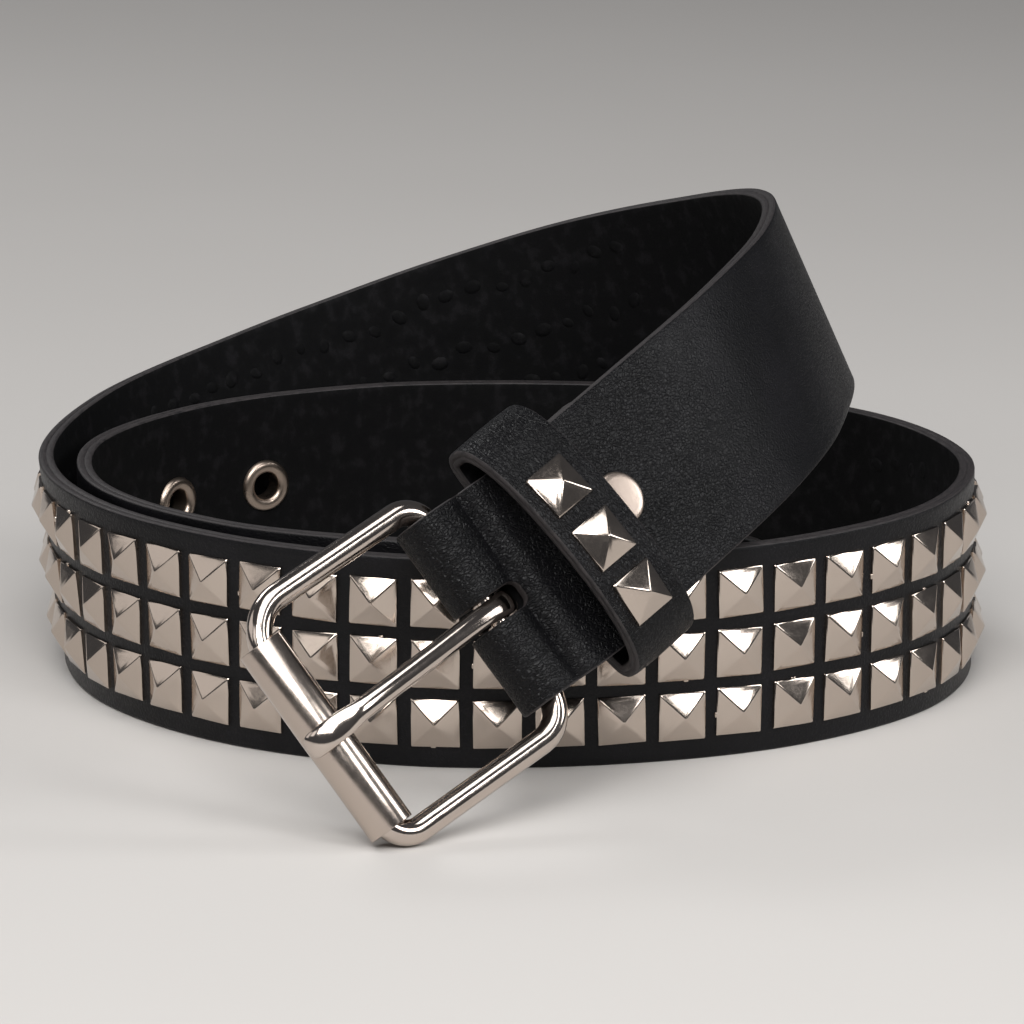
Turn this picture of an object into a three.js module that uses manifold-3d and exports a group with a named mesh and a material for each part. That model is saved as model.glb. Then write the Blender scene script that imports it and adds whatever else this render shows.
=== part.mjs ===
// A studded leather belt with a roller buckle, lying loosely rolled on its edge.
// Millimetres, +Z up, the floor at z = 0, +X to the right and +Y away from the viewer.

import * as THREE from "three";
import { mergeVertices } from "three/addons/utils/BufferGeometryUtils.js";
import Module from "manifold-3d";

const wasm = await Module();
wasm.setup();

// Strap
const STRAP_WIDTH = 42;
const STRAP_THICKNESS = 3.2;
const STRAP_CHAMFER = 0.6;
const STRAP_STEP = 8;
const TIP_LENGTH = 20;
const TIP_HALF_WIDTH = 5;
const BACK_LAYER_LENGTH = 41;
const FOLD_OVERLAP = 2;

// Route of the strap's centre line, from the free tip round to the buckle.
// lean is the angle in degrees by which the strap's top edge leans outwards.
const ROUTE = [
  // the free end lies inside the ring, along its front and up its left and back
  { x: 62.5, y: 19, z: 21, lean: 0 },
  { x: 23, y: 11, z: 21, lean: 0 },
  { x: -16, y: 10, z: 21, lean: 0 },
  { x: -53, y: 24, z: 21, lean: 0 },
  { x: -79.5, y: 55, z: 21, lean: 0 },
  { x: -83.2, y: 93, z: 21, lean: 0 },
  { x: -62.5, y: 127, z: 21, lean: 0 },
  { x: -27, y: 146, z: 21, lean: 0 },
  { x: 12, y: 149, z: 21, lean: 0 },
  { x: 51, y: 140, z: 21, lean: 0 },
  // the right end and the studded front
  { x: 83, y: 115, z: 21, lean: 0 },
  { x: 97, y: 79, z: 21, lean: 0 },
  { x: 88, y: 40, z: 21, lean: 0 },
  { x: 60, y: 12, z: 21, lean: 0 },
  { x: 23, y: -2, z: 21, lean: 0 },
  { x: -16, y: -3, z: 21, lean: 0 },
  { x: -53, y: 13, z: 21.1, lean: 0 },
  // the strap leaves the floor at the left and rises behind the ring
  { x: -80, y: 43, z: 21.3, lean: 3 },
  { x: -90, y: 81, z: 22, lean: 7 },
  { x: -80, y: 120, z: 25, lean: 10 },
  { x: -54, y: 148, z: 31, lean: 13 },
  { x: -20, y: 164, z: 41, lean: 7 },
  { x: 18, y: 161, z: 54, lean: -2 },
  // the free bend at the right, and the arm that comes forward over the front rim
  { x: 49, y: 139, z: 65, lean: -13 },
  { x: 64, y: 104, z: 73, lean: -23 },
  { x: 62, y: 64, z: 73, lean: -24 },
  { x: 50, y: 27, z: 68, lean: -30 },
  { x: 28, y: -5.5, z: 56, lean: -33 },
];

// Studs: square pyramids on three rows, fused to the strap
const STUD_SIDE = 9.5;
const STUD_WALL = 0.5;
const STUD_HEIGHT = 2.8;
const STUD_DEPTH = 0.6;
const STUD_PITCH = 11.93;
const STUD_ROWS = 3;
const STUD_COLUMNS = 42;
const FIRST_COLUMN = 403.5;

// Eyelets in the free end
const EYELET_COUNT = 7;
const EYELET_FIRST = 105.9;
const EYELET_PITCH = 24.8;
const EYELET_SIDE = 1.3;
const EYELET_BORE = 2.9;
const EYELET_TUBE = 3.6;
const EYELET_FLANGE = 5.6;
const EYELET_FLANGE_HEIGHT = 0.7;
const EYELET_BEND = 0.4;
const EYELET_SEGMENTS = 12;

// Buckle frame: a bar in the strap's fold, two sides and a second bar in the roller
const BAR_CENTRE = { x: -0.2, y: -26.8, z: 37 };
const BUCKLE_HEADING = 219;
const BUCKLE_DIP = 21.5;
const BUCKLE_LEAN = -33.5;
const WIRE_RADIUS = 2.5;
const FRAME_WIDTH = 50.8;
const FRAME_LENGTH = 44.1;
const BAR_CORNER_TOP = 5;
const BAR_CORNER_LOW = 7.5;
const ROLLER_CORNER_LOW = 5.2;
const ROLLER_CORNER_TOP = 9.5;
const CORNER_STEPS = 5;
const WIRE_SEGMENTS = 10;
const STRAP_SHIFT = 1;

// Fold of the strap round the bar
const FOLD_BORE = 3.4;
const FOLD_LENGTH = 14;
const FOLD_MEET = 10.5;
const GROOVE_PLACE = 4.8;
const GROOVE_DEPTH = 1;
const RIDGE_PLACE = 9;
const SLOT_WIDTH = 7;
const SLOT_END = 5.4;

// Roller and prong
const ROLLER_BORE = 4.05;
const ROLLER_RADIUS = 4.6;
const ROLLER_LENGTH = 42;
const ROLLER_SEGMENTS = 24;
const ROLLER_SHIFT = -1.45;
const ROLLER_REACH = 43.35;
const ROLLER_RISE = -0.4;
const PRONG_WIDTH = 4.3;
const PRONG_EYE_BORE = 2.8;
const PRONG_EYE_RADIUS = 4.6;
const PRONG_SEGMENTS = 10;
const EYE_SEGMENTS = 20;

// Keeper loop, its studs, and the rivet behind it
const KEEPER_PLACE = 21.5;
const KEEPER_TILT = 7.5;
const KEEPER_BAND = 16.5;
const KEEPER_THICKNESS = 3;
const KEEPER_HALF_WIDTH = 24.4;
const KEEPER_SIDE = 0.8;
const KEEPER_CENTRE = -1.7;
const KEEPER_FRONT = 10.5;
const KEEPER_BACK = 4.2;
const KEEPER_FRONT_ROUNDNESS = 2.2;
const KEEPER_BACK_ROUNDNESS = 6;
const KEEPER_STEPS = 48;
const KEEPER_STUDS = 3;
const KEEPER_STUD_PITCH = 12.4;
const KEEPER_STUD_SHIFT = 2.8;
const KEEPER_STUD_REACH = 0.75;
const RIVET_PLACE = 34;
const RIVET_SIDE = 1.1;
const RIVET_HEAD = 5.2;
const RIVET_FOOT = 2.5;
const RIVET_HEAD_HEIGHT = 1.1;
const RIVET_BEVEL = 0.4;
const RIVET_POST = 1.8;
const RIVET_SEGMENTS = 20;

const GAP = 0.3;

// Middle of the belt's box in the route's axes, which becomes the origin.
const ORIGIN = { x: 2.8, y: 54.2 };

const leather = new THREE.MeshStandardMaterial({ color: 0x1b1a1e, roughness: 0.55, metalness: 0 });
const nickel = new THREE.MeshStandardMaterial({ color: 0xc9c2ba, roughness: 0.18, metalness: 1 });
const satinNickel = new THREE.MeshStandardMaterial({ color: 0xb9b0a8, roughness: 0.3, metalness: 1 });

const belt = new THREE.Group();

const radians = THREE.MathUtils.degToRad;

// Frame of axes for a direction of travel and a lean: along, across (towards the top edge) and out.
function axesFor(along, lean) {
  const up = new THREE.Vector3(0, 0, 1);
  up.addScaledVector(along, -along.z).normalize();
  const level = new THREE.Vector3().crossVectors(up, along);
  const across = up.multiplyScalar(Math.cos(lean)).addScaledVector(level, Math.sin(lean));
  const out = new THREE.Vector3().crossVectors(across, along);
  return { along: along.clone(), across, out };
}

// Buckle axes: along points from the strap to the roller.
function buckleAxes() {
  const heading = radians(BUCKLE_HEADING);
  const dip = radians(BUCKLE_DIP);
  const level = Math.cos(dip);
  const along = new THREE.Vector3(Math.cos(heading) * level, Math.sin(heading) * level, -Math.sin(dip));
  return axesFor(along, radians(BUCKLE_LEAN));
}

const buckle = buckleAxes();
const barCentre = new THREE.Vector3(BAR_CENTRE.x, BAR_CENTRE.y, BAR_CENTRE.z);

// A point in the buckle's axes. reach is counted from the bar towards the roller.
function buckleSpot(reach, side, rise) {
  return barCentre.clone()
    .addScaledVector(buckle.along, reach)
    .addScaledVector(buckle.across, side)
    .addScaledVector(buckle.out, rise);
}

// Matrix that carries x, y, z to along, out, across at a point.
function matrixAt(point, axes) {
  return new THREE.Matrix4().makeBasis(axes.along, axes.out, axes.across).setPosition(point);
}

const STRAP_RISE = FOLD_BORE + STRAP_THICKNESS / 2;

// The strap's path, with even steps of length between the samples.
function strapPath() {
  const points = ROUTE.map((row) => new THREE.Vector3(row.x, row.y, row.z));
  const leans = ROUTE.map((row) => new THREE.Vector3(radians(row.lean), 0, 0));
  for (const reach of [-FOLD_LENGTH, 0]) {
    points.push(buckleSpot(reach, STRAP_SHIFT, STRAP_RISE));
    leans.push(new THREE.Vector3(radians(BUCKLE_LEAN), 0, 0));
  }
  const samplesPerRow = 40;
  const count = (points.length - 1) * samplesPerRow;
  const centre = new THREE.CatmullRomCurve3(points);
  const lean = new THREE.CatmullRomCurve3(leans, false, "catmullrom", 0.5);
  const samples = [];
  let length = 0;
  for (let i = 0; i <= count; i += 1) {
    const point = centre.getPoint(i / count);
    if (i > 0) length += point.distanceTo(samples[i - 1].point);
    samples.push({ point, length, lean: lean.getPoint(i / count).x });
  }
  return samples;
}

const path = strapPath();
const strapLength = path[path.length - 1].length;

// Point, axes and lean of the strap at a length from its tip.
function strapAt(length) {
  let i = path.findIndex((sample) => sample.length > length);
  if (i < 1) i = length <= 0 ? 1 : path.length - 1;
  const before = path[i - 1];
  const after = path[i];
  const share = (length - before.length) / (after.length - before.length);
  const point = before.point.clone().lerp(after.point, share);
  const early = path[Math.max(i - 2, 0)];
  const late = path[Math.min(i + 1, path.length - 1)];
  const along = late.point.clone().sub(early.point).normalize();
  const lean = before.lean + (after.lean - before.lean) * share;
  return { point, ...axesFor(along, lean) };
}

// Closed body through rings of points, each ring a convex loop. A closed loft joins its ends.
function loft(rings, closed = false) {
  const size = rings[0].length;
  const positions = rings.flat().flatMap((point) => [point.x, point.y, point.z]);
  const indices = [];
  const bands = closed ? rings.length : rings.length - 1;
  for (let i = 0; i < bands; i += 1) {
    const a = i * size;
    const b = ((i + 1) % rings.length) * size;
    for (let j = 0; j < size; j += 1) {
      const k = (j + 1) % size;
      indices.push(a + j, a + k, b + k);
      indices.push(a + j, b + k, b + j);
    }
  }
  if (!closed) {
    const last = (rings.length - 1) * size;
    for (let j = 1; j < size - 1; j += 1) {
      indices.push(0, j + 1, j);
      indices.push(last, last + j, last + j + 1);
    }
  }
  return bodyOf(positions, indices);
}

// Indexed geometry whose faces point out.
function bodyOf(positions, indices) {
  const geometry = new THREE.BufferGeometry();
  geometry.setAttribute("position", new THREE.Float32BufferAttribute(positions, 3));
  const a = new THREE.Vector3();
  const b = new THREE.Vector3();
  const c = new THREE.Vector3();
  let volume = 0;
  for (let i = 0; i < indices.length; i += 3) {
    a.fromArray(positions, indices[i] * 3);
    b.fromArray(positions, indices[i + 1] * 3);
    c.fromArray(positions, indices[i + 2] * 3);
    volume += a.dot(b.cross(c));
  }
  if (volume < 0) indices.reverse();
  geometry.setIndex(indices);
  geometry.computeVertexNormals();
  return geometry;
}

// Solid of a closed geometry, with its shared corners merged.
function solidOf(geometry) {
  const bare = geometry.clone();
  bare.deleteAttribute("normal");
  bare.deleteAttribute("uv");
  const merged = mergeVertices(bare, 1e-4);
  const vertProperties = new Float32Array(merged.attributes.position.array);
  const triVerts = new Uint32Array(merged.index.array);
  return new wasm.Manifold(new wasm.Mesh({ numProp: 3, vertProperties, triVerts }));
}

function geometryOf(solid) {
  const mesh = solid.getMesh();
  return bodyOf(Array.from(mesh.vertProperties), Array.from(mesh.triVerts));
}

function addPiece(name, geometry, material) {
  const mesh = new THREE.Mesh(geometry, material);
  mesh.name = name;
  belt.add(mesh);
}

// Strap section with bevelled edges, one or two layers thick. The outer layer is the strap's own.
function strapSection(place, halfWidth, layers) {
  const w = halfWidth;
  const top = STRAP_THICKNESS / 2;
  const bottom = top - STRAP_THICKNESS * layers;
  const c = STRAP_CHAMFER;
  const outline = [
    [-w, bottom + c], [-w, top - c], [-w + c, top], [w - c, top],
    [w, top - c], [w, bottom + c], [w - c, bottom], [-w + c, bottom],
  ];
  return outline.map(([side, depth]) => place.point.clone()
    .addScaledVector(place.across, side)
    .addScaledVector(place.out, depth));
}

// Half width of the strap at a length from the tip, whose end is an ellipse.
function halfWidthAt(length) {
  if (length >= TIP_LENGTH) return STRAP_WIDTH / 2;
  const reach = 1 - length / TIP_LENGTH;
  const share = Math.sqrt(1 - reach * reach);
  return TIP_HALF_WIDTH + (STRAP_WIDTH / 2 - TIP_HALF_WIDTH) * share;
}

function strapStretch(from, to, layers) {
  const rings = [];
  const tipSteps = 6;
  for (let i = 0; from === 0 && i < tipSteps; i += 1) {
    const length = TIP_LENGTH * (1 - Math.cos((i / tipSteps) * Math.PI / 2));
    rings.push(strapSection(strapAt(length), halfWidthAt(length), layers));
  }
  const start = from === 0 ? TIP_LENGTH : from;
  const steps = Math.ceil((to - start) / STRAP_STEP);
  for (let i = 0; i <= steps; i += 1) {
    const length = start + (to - start) * (i / steps);
    rings.push(strapSection(strapAt(length), STRAP_WIDTH / 2, layers));
  }
  return solidOf(loft(rings));
}

// The fold, drawn in its own plane: x back from the bar towards the strap, y out.
function foldLayer() {
  const outer = FOLD_BORE + STRAP_THICKNESS;
  const shape = new THREE.Shape();
  shape.moveTo(FOLD_LENGTH, outer);
  shape.lineTo(RIDGE_PLACE + 2, outer);
  shape.lineTo(RIDGE_PLACE, outer + 0.2);
  shape.lineTo(RIDGE_PLACE - 2, outer - 0.2);
  shape.lineTo(GROOVE_PLACE, outer - GROOVE_DEPTH);
  shape.lineTo(GROOVE_PLACE - 2, outer - 0.5);
  shape.absarc(0, 0, outer, radians(80), radians(275), false);
  shape.quadraticCurveTo(FOLD_MEET / 2, -outer + 0.6, FOLD_MEET, outer - 2 * STRAP_THICKNESS);
  shape.lineTo(FOLD_LENGTH, outer - 2 * STRAP_THICKNESS);
  shape.closePath();
  const hollow = new THREE.Path();
  hollow.absarc(0, 0, FOLD_BORE, radians(90), radians(275), false);
  hollow.lineTo(4, -2.4);
  hollow.lineTo(9.5, FOLD_BORE - 0.6);
  hollow.lineTo(9, FOLD_BORE);
  hollow.closePath();
  shape.holes.push(hollow);
  const geometry = new THREE.ExtrudeGeometry(shape, {
    depth: STRAP_WIDTH,
    bevelEnabled: false,
    curveSegments: 12,
  });
  geometry.translate(0, 0, -STRAP_WIDTH / 2);
  const back = buckle.along.clone().negate();
  const turn = new THREE.Matrix4().makeBasis(back, buckle.out, buckle.across.clone().negate());
  turn.setPosition(buckleSpot(0, STRAP_SHIFT, 0));
  geometry.applyMatrix4(turn);
  return solidOf(geometry);
}

// Shape turned about y from a profile of [radius, height] points.
function turned(profile, segments) {
  return new THREE.LatheGeometry(profile.map(([radius, height]) => new THREE.Vector2(radius, height)), segments);
}

// Closed profile of a tube about y.
function tubeProfile(bore, radius, length) {
  const half = length / 2;
  return [[bore, -half], [radius, -half], [radius, half], [bore, half], [bore, -half]];
}

// Upright cylinder along the strap's out direction.
function post(point, axes, radius, height, segments) {
  const geometry = new THREE.CylinderGeometry(radius, radius, height, segments);
  geometry.applyMatrix4(matrixAt(point, axes));
  return solidOf(geometry);
}

function rivetPlace() {
  return placeBeside(strapLength - RIVET_PLACE, RIVET_SIDE);
}

// Square pyramid on a low wall, whose foot reaches down by a depth below y = 0.
function studGeometry(depth) {
  const corner = STUD_SIDE / Math.SQRT2;
  const profile = [[0, -depth], [corner, -depth], [corner, STUD_WALL], [0, STUD_HEIGHT]];
  return turned(profile, 4).rotateY(Math.PI / 4);
}

function eyeletLengths() {
  return Array.from({ length: EYELET_COUNT }, (_, i) => EYELET_FIRST + EYELET_PITCH * i);
}

// A place on the strap, moved towards its top edge.
function placeBeside(length, side) {
  const place = strapAt(length);
  place.point.addScaledVector(place.across, side);
  return place;
}

function eyeletPlace(length) {
  return placeBeside(length, EYELET_SIDE);
}

function studdedStrap() {
  const bodyEnd = strapLength - FOLD_LENGTH + FOLD_OVERLAP;
  let strap = strapStretch(0, bodyEnd, 1);
  strap = strap.add(strapStretch(strapLength - BACK_LAYER_LENGTH, bodyEnd, 2));
  strap = strap.add(foldLayer());
  const stud = studGeometry(STUD_DEPTH);
  for (let column = 0; column < STUD_COLUMNS; column += 1) {
    const place = strapAt(FIRST_COLUMN + STUD_PITCH * column);
    for (let row = 0; row < STUD_ROWS; row += 1) {
      const side = (row - (STUD_ROWS - 1) / 2) * STUD_PITCH;
      const foot = place.point.clone()
        .addScaledVector(place.across, side)
        .addScaledVector(place.out, STRAP_THICKNESS / 2);
      strap = strap.add(solidOf(stud.clone().applyMatrix4(matrixAt(foot, place))));
    }
  }
  for (const length of eyeletLengths()) {
    const place = eyeletPlace(length);
    strap = strap.subtract(post(place.point, place, EYELET_TUBE + GAP, 3 * STRAP_THICKNESS, EYELET_SEGMENTS));
  }
  const rivet = rivetPlace();
  strap = strap.subtract(post(rivet.point, rivet, RIVET_POST + GAP, 6 * STRAP_THICKNESS, RIVET_SEGMENTS));
  const slotLength = SLOT_END + FOLD_BORE + 2 * STRAP_THICKNESS;
  const slot = new THREE.BoxGeometry(slotLength, 8 * STRAP_THICKNESS, SLOT_WIDTH);
  slot.applyMatrix4(matrixAt(buckleSpot(slotLength / 2 - SLOT_END, 0, 0), buckle));
  strap = strap.subtract(solidOf(slot));
  addPiece("studded_strap", geometryOf(strap), leather);
}

// Rolled eyelet: a tube with a domed flange on each face of the strap.
function eyelets() {
  const seat = STRAP_THICKNESS / 2 + GAP + EYELET_BEND;
  const rim = seat + EYELET_FLANGE_HEIGHT;
  const profile = [
    [EYELET_BORE, -rim], [EYELET_FLANGE, -seat - GAP], [EYELET_FLANGE, -seat], [EYELET_TUBE, -seat],
    [EYELET_TUBE, seat], [EYELET_FLANGE, seat], [EYELET_FLANGE, seat + GAP], [EYELET_BORE, rim],
    [EYELET_BORE, -rim],
  ];
  eyeletLengths().forEach((length, i) => {
    const geometry = turned(profile, EYELET_SEGMENTS);
    const place = eyeletPlace(length);
    geometry.applyMatrix4(matrixAt(place.point, place));
    addPiece(`eyelet_${i + 1}`, geometryOf(solidOf(geometry)), nickel);
  });
}

// Round or oval ring of points about a spot, in the plane of two directions.
function ring(centre, first, second, firstRadius, secondRadius, segments) {
  return Array.from({ length: segments }, (_, i) => {
    const angle = (i / segments) * 2 * Math.PI;
    return centre.clone()
      .addScaledVector(first, Math.cos(angle) * firstRadius)
      .addScaledVector(second, Math.sin(angle) * secondRadius);
  });
}

// The frame's wire: a rounded rectangle, closed on itself. start is the angle, in degrees from
// along towards across, at which the wire enters a corner.
function buckleFrame() {
  const half = FRAME_WIDTH / 2;
  const corner = (radius, start, far, top) => ({
    reach: far ? FRAME_LENGTH - radius : radius, side: top ? half - radius : radius - half, radius, start,
  });
  const corners = [
    corner(BAR_CORNER_TOP, 90, false, true),
    corner(BAR_CORNER_LOW, 180, false, false),
    corner(ROLLER_CORNER_LOW, 270, true, false),
    corner(ROLLER_CORNER_TOP, 0, true, true),
  ];
  const rings = [];
  for (const bend of corners) {
    for (let i = 0; i <= CORNER_STEPS; i += 1) {
      const angle = radians(bend.start + 90 * (i / CORNER_STEPS));
      const outward = buckle.along.clone().multiplyScalar(Math.cos(angle))
        .addScaledVector(buckle.across, Math.sin(angle));
      const spot = buckleSpot(bend.reach, bend.side, 0).addScaledVector(outward, bend.radius);
      rings.push(ring(spot, outward, buckle.out, WIRE_RADIUS, WIRE_RADIUS, WIRE_SEGMENTS));
    }
  }
  addPiece("buckle_frame", loft(rings, true), nickel);
}

// Turns a shape made about y so that it lies along the buckle's bars.
function alongBar(geometry, reach, side, rise) {
  const axes = { along: buckle.along, out: buckle.across, across: buckle.out.clone().negate() };
  return geometry.applyMatrix4(matrixAt(buckleSpot(reach, side, rise), axes));
}

// The roller lies off centre on its wire, which is thinner than the bore.
function roller() {
  const tube = turned(tubeProfile(ROLLER_BORE, ROLLER_RADIUS, ROLLER_LENGTH), ROLLER_SEGMENTS);
  const placed = alongBar(tube, ROLLER_REACH, ROLLER_SHIFT, ROLLER_RISE);
  addPiece("roller", geometryOf(solidOf(placed)), satinNickel);
}

// The prong: an eye round the bar and a shank whose flat tip bends down over the roller.
function prong() {
  const shank = [
    { reach: 0.5, rise: 3.7, width: 1.9, height: 0.7, side: 0 },
    { reach: 5, rise: 4.3, width: 2.15, height: 1.2, side: 0 },
    { reach: 12, rise: 5, width: 2.15, height: 1.5, side: -0.3 },
    { reach: 30, rise: 6.6, width: 2.15, height: 1.6, side: -1 },
    { reach: 39, rise: 6.8, width: 2.2, height: 1.5, side: -1.3 },
    { reach: 43, rise: 6.3, width: 2.3, height: 1.4, side: -1.5 },
    { reach: 46.5, rise: 5.5, width: 2.2, height: 1.3, side: -1.6 },
    { reach: 49, rise: 3.8, width: 1.7, height: 1.1, side: -1.7 },
  ];
  const rings = shank.map((row, i) => {
    const before = shank[Math.max(i - 1, 0)];
    const after = shank[Math.min(i + 1, shank.length - 1)];
    const slope = Math.atan2(after.rise - before.rise, after.reach - before.reach);
    const upward = buckle.out.clone().multiplyScalar(Math.cos(slope))
      .addScaledVector(buckle.along, -Math.sin(slope));
    const spot = buckleSpot(row.reach, row.side, row.rise);
    return ring(spot, buckle.across, upward, row.width, row.height, PRONG_SEGMENTS);
  });
  const eye = turned(tubeProfile(PRONG_EYE_BORE, PRONG_EYE_RADIUS, PRONG_WIDTH), EYE_SEGMENTS);
  const bar = new THREE.CylinderGeometry(PRONG_EYE_BORE, PRONG_EYE_BORE, 3 * PRONG_WIDTH, EYE_SEGMENTS);
  const body = solidOf(loft(rings)).add(solidOf(alongBar(eye, 0, 0, 0))).subtract(solidOf(alongBar(bar, 0, 0, 0)));
  addPiece("prong", geometryOf(body), nickel);
}

// Point of the keeper's outline: a flat back and a round front that stands off the strap.
function keeperPoint(angle, offset) {
  const front = Math.sin(angle) >= 0;
  const roundness = front ? KEEPER_FRONT_ROUNDNESS : KEEPER_BACK_ROUNDNESS;
  const height = front ? KEEPER_FRONT : KEEPER_BACK;
  const bend = (value) => Math.sign(value) * Math.abs(value) ** (2 / roundness);
  return {
    side: (KEEPER_HALF_WIDTH + offset) * bend(Math.cos(angle)),
    rise: KEEPER_CENTRE + (height + offset) * bend(Math.sin(angle)),
  };
}

// Angle at which the keeper's outer face has a given side.
function keeperAngle(side) {
  const share = side / (KEEPER_HALF_WIDTH + KEEPER_THICKNESS);
  return Math.acos(Math.sign(share) * Math.abs(share) ** (KEEPER_FRONT_ROUNDNESS / 2));
}

// A point in the axes of the strap under the keeper, whose front leans towards the buckle.
function keeperSpot(reach, side, rise) {
  const place = strapAt(strapLength - KEEPER_PLACE);
  return place.point.addScaledVector(place.along, reach + rise * Math.tan(radians(KEEPER_TILT)))
    .addScaledVector(place.across, side + KEEPER_SIDE)
    .addScaledVector(place.out, rise);
}

function keeper() {
  const half = KEEPER_BAND / 2;
  const rings = [];
  for (let i = 0; i < KEEPER_STEPS; i += 1) {
    const angle = (i / KEEPER_STEPS) * 2 * Math.PI;
    const inner = keeperPoint(angle, 0);
    const outer = keeperPoint(angle, KEEPER_THICKNESS);
    rings.push([
      keeperSpot(half, inner.side, inner.rise),
      keeperSpot(half, outer.side, outer.rise),
      keeperSpot(-half, outer.side, outer.rise),
      keeperSpot(-half, inner.side, inner.rise),
    ]);
  }
  addPiece("keeper", loft(rings, true), leather);
}

// Studs on the keeper's front, each on the tangent of its outer face.
function keeperStuds() {
  const step = 0.02;
  const stud = studGeometry(0);
  for (let i = 0; i < KEEPER_STUDS; i += 1) {
    const side = ((KEEPER_STUDS - 1) / 2 - i) * KEEPER_STUD_PITCH - KEEPER_STUD_SHIFT;
    const angle = keeperAngle(side);
    const spot = keeperPoint(angle, KEEPER_THICKNESS);
    const foot = keeperSpot(KEEPER_STUD_REACH, spot.side, spot.rise);
    const before = keeperPoint(angle + step, KEEPER_THICKNESS);
    const across = foot.clone().sub(keeperSpot(KEEPER_STUD_REACH, before.side, before.rise)).normalize();
    const along = strapAt(strapLength - KEEPER_PLACE).along;
    const out = new THREE.Vector3().crossVectors(across, along);
    const place = matrixAt(foot.addScaledVector(out, GAP), { along, across, out });
    addPiece(`keeper_stud_${i + 1}`, geometryOf(solidOf(stud.clone().applyMatrix4(place))), nickel);
  }
}

// Rivet through both layers, with a flat head on each face.
function rivet() {
  const place = rivetPlace();
  const top = STRAP_THICKNESS / 2 + GAP;
  const bottom = -1.5 * STRAP_THICKNESS - GAP;
  const profile = [
    [0, bottom - RIVET_HEAD_HEIGHT], [RIVET_FOOT, bottom - RIVET_HEAD_HEIGHT], [RIVET_FOOT, bottom],
    [RIVET_POST, bottom], [RIVET_POST, top], [RIVET_HEAD, top],
    [RIVET_HEAD - RIVET_BEVEL, top + RIVET_HEAD_HEIGHT], [0, top + RIVET_HEAD_HEIGHT],
  ];
  const geometry = turned(profile, RIVET_SEGMENTS);
  geometry.applyMatrix4(matrixAt(place.point, place));
  addPiece("rivet", geometryOf(solidOf(geometry)), nickel);
}

studdedStrap();
eyelets();
buckleFrame();
roller();
prong();
keeper();
keeperStuds();
rivet();
belt.position.set(-ORIGIN.x, -ORIGIN.y, 0);

export default belt;
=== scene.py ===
"""Looks of a studded leather belt with a roller buckle, built round its fixed frame.

Leather parts are made flat, as a belt maker would, and then laid along the belt's route.
Pieces are modelled in millimetres and brought to metres when they are put in place.
"""

import logging
import math
import random
from contextlib import contextmanager
from dataclasses import dataclass
from enum import Enum
from typing import Callable, Iterator, Sequence

import bmesh
import bpy
import numpy as np
from mathutils import Matrix, Vector, noise


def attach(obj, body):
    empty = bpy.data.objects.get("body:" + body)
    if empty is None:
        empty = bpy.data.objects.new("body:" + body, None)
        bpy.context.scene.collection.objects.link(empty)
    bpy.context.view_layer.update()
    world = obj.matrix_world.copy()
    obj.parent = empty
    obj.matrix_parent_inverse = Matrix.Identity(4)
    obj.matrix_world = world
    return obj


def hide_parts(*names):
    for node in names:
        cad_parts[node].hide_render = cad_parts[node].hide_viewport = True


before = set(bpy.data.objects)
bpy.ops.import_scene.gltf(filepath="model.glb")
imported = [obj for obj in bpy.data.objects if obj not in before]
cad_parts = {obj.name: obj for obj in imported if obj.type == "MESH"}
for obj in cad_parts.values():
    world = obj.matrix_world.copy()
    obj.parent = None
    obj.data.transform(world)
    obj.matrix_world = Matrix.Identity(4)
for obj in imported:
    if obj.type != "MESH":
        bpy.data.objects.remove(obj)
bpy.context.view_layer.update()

log = logging.getLogger("belt")

MM = 0.001
ORIGIN = Vector((2.8, 54.2, 0.0))

Object = bpy.types.Object
Material = bpy.types.Material
Socket = bpy.types.NodeSocket
Rows = Sequence[Sequence[float]]
Pair = tuple[float, float]
Triple = tuple[float, float, float]
Color = tuple[float, float, float, float]

# A face looks along an axis, or stands upright to it, past these shares of its normal
FACING = 0.9
UPRIGHT = 0.1

# Heights in millimetres between which the grain side's relief sets in
RELIEF_FROM = (0.2, 1.0)


class Part(Enum):
    """Kind of mesh part that an edit step works on."""

    VERTS = "verts"
    EDGES = "edges"
    FACES = "faces"


class Body(Enum):
    """Moving bodies of the belt."""

    STRAP = "strap_body"
    BUCKLE = "buckle_body"
    ROLLER = "roller_body"
    PRONG = "prong_body"


class Slot(Enum):
    """Material slots of the belt's record."""

    LEATHER = "black_leather"
    STUD = "stud_nickel"
    EYELET = "eyelet_nickel"
    BUCKLE = "buckle_nickel"
    ROLLER = "roller_nickel"


# Edit-mode steps shared by all pieces


def deselect() -> None:
    """Leaves edit mode and drops the selection."""
    if bpy.context.object is not None and bpy.context.object.mode != "OBJECT":
        bpy.ops.object.mode_set(mode="OBJECT")
    bpy.ops.object.select_all(action="DESELECT")


def activate(obj: Object) -> None:
    """Makes one object the only selected and active one."""
    deselect()
    obj.select_set(True)
    bpy.context.view_layer.objects.active = obj


def started(name: str) -> Object:
    """Names the primitive that was just added, with its place applied.

    Args:
        name: Name of the new piece.

    Returns:
        The new piece.
    """
    obj = bpy.context.object
    obj.name = name
    obj.data.name = name
    bpy.ops.object.transform_apply(location=True, rotation=True, scale=True)
    return obj


@contextmanager
def editing(obj: Object, part: Part) -> Iterator[None]:
    """Holds a piece in edit mode, with nothing selected at first.

    Args:
        obj: The piece.
        part: Kind of part that is selected in this stretch of work.
    """
    kinds = {Part.VERTS: "VERT", Part.EDGES: "EDGE", Part.FACES: "FACE"}
    activate(obj)
    bpy.ops.object.mode_set(mode="EDIT")
    bpy.ops.mesh.select_mode(type=kinds[part])
    bpy.ops.mesh.select_all(action="DESELECT")
    yield
    bpy.ops.object.mode_set(mode="OBJECT")


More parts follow.
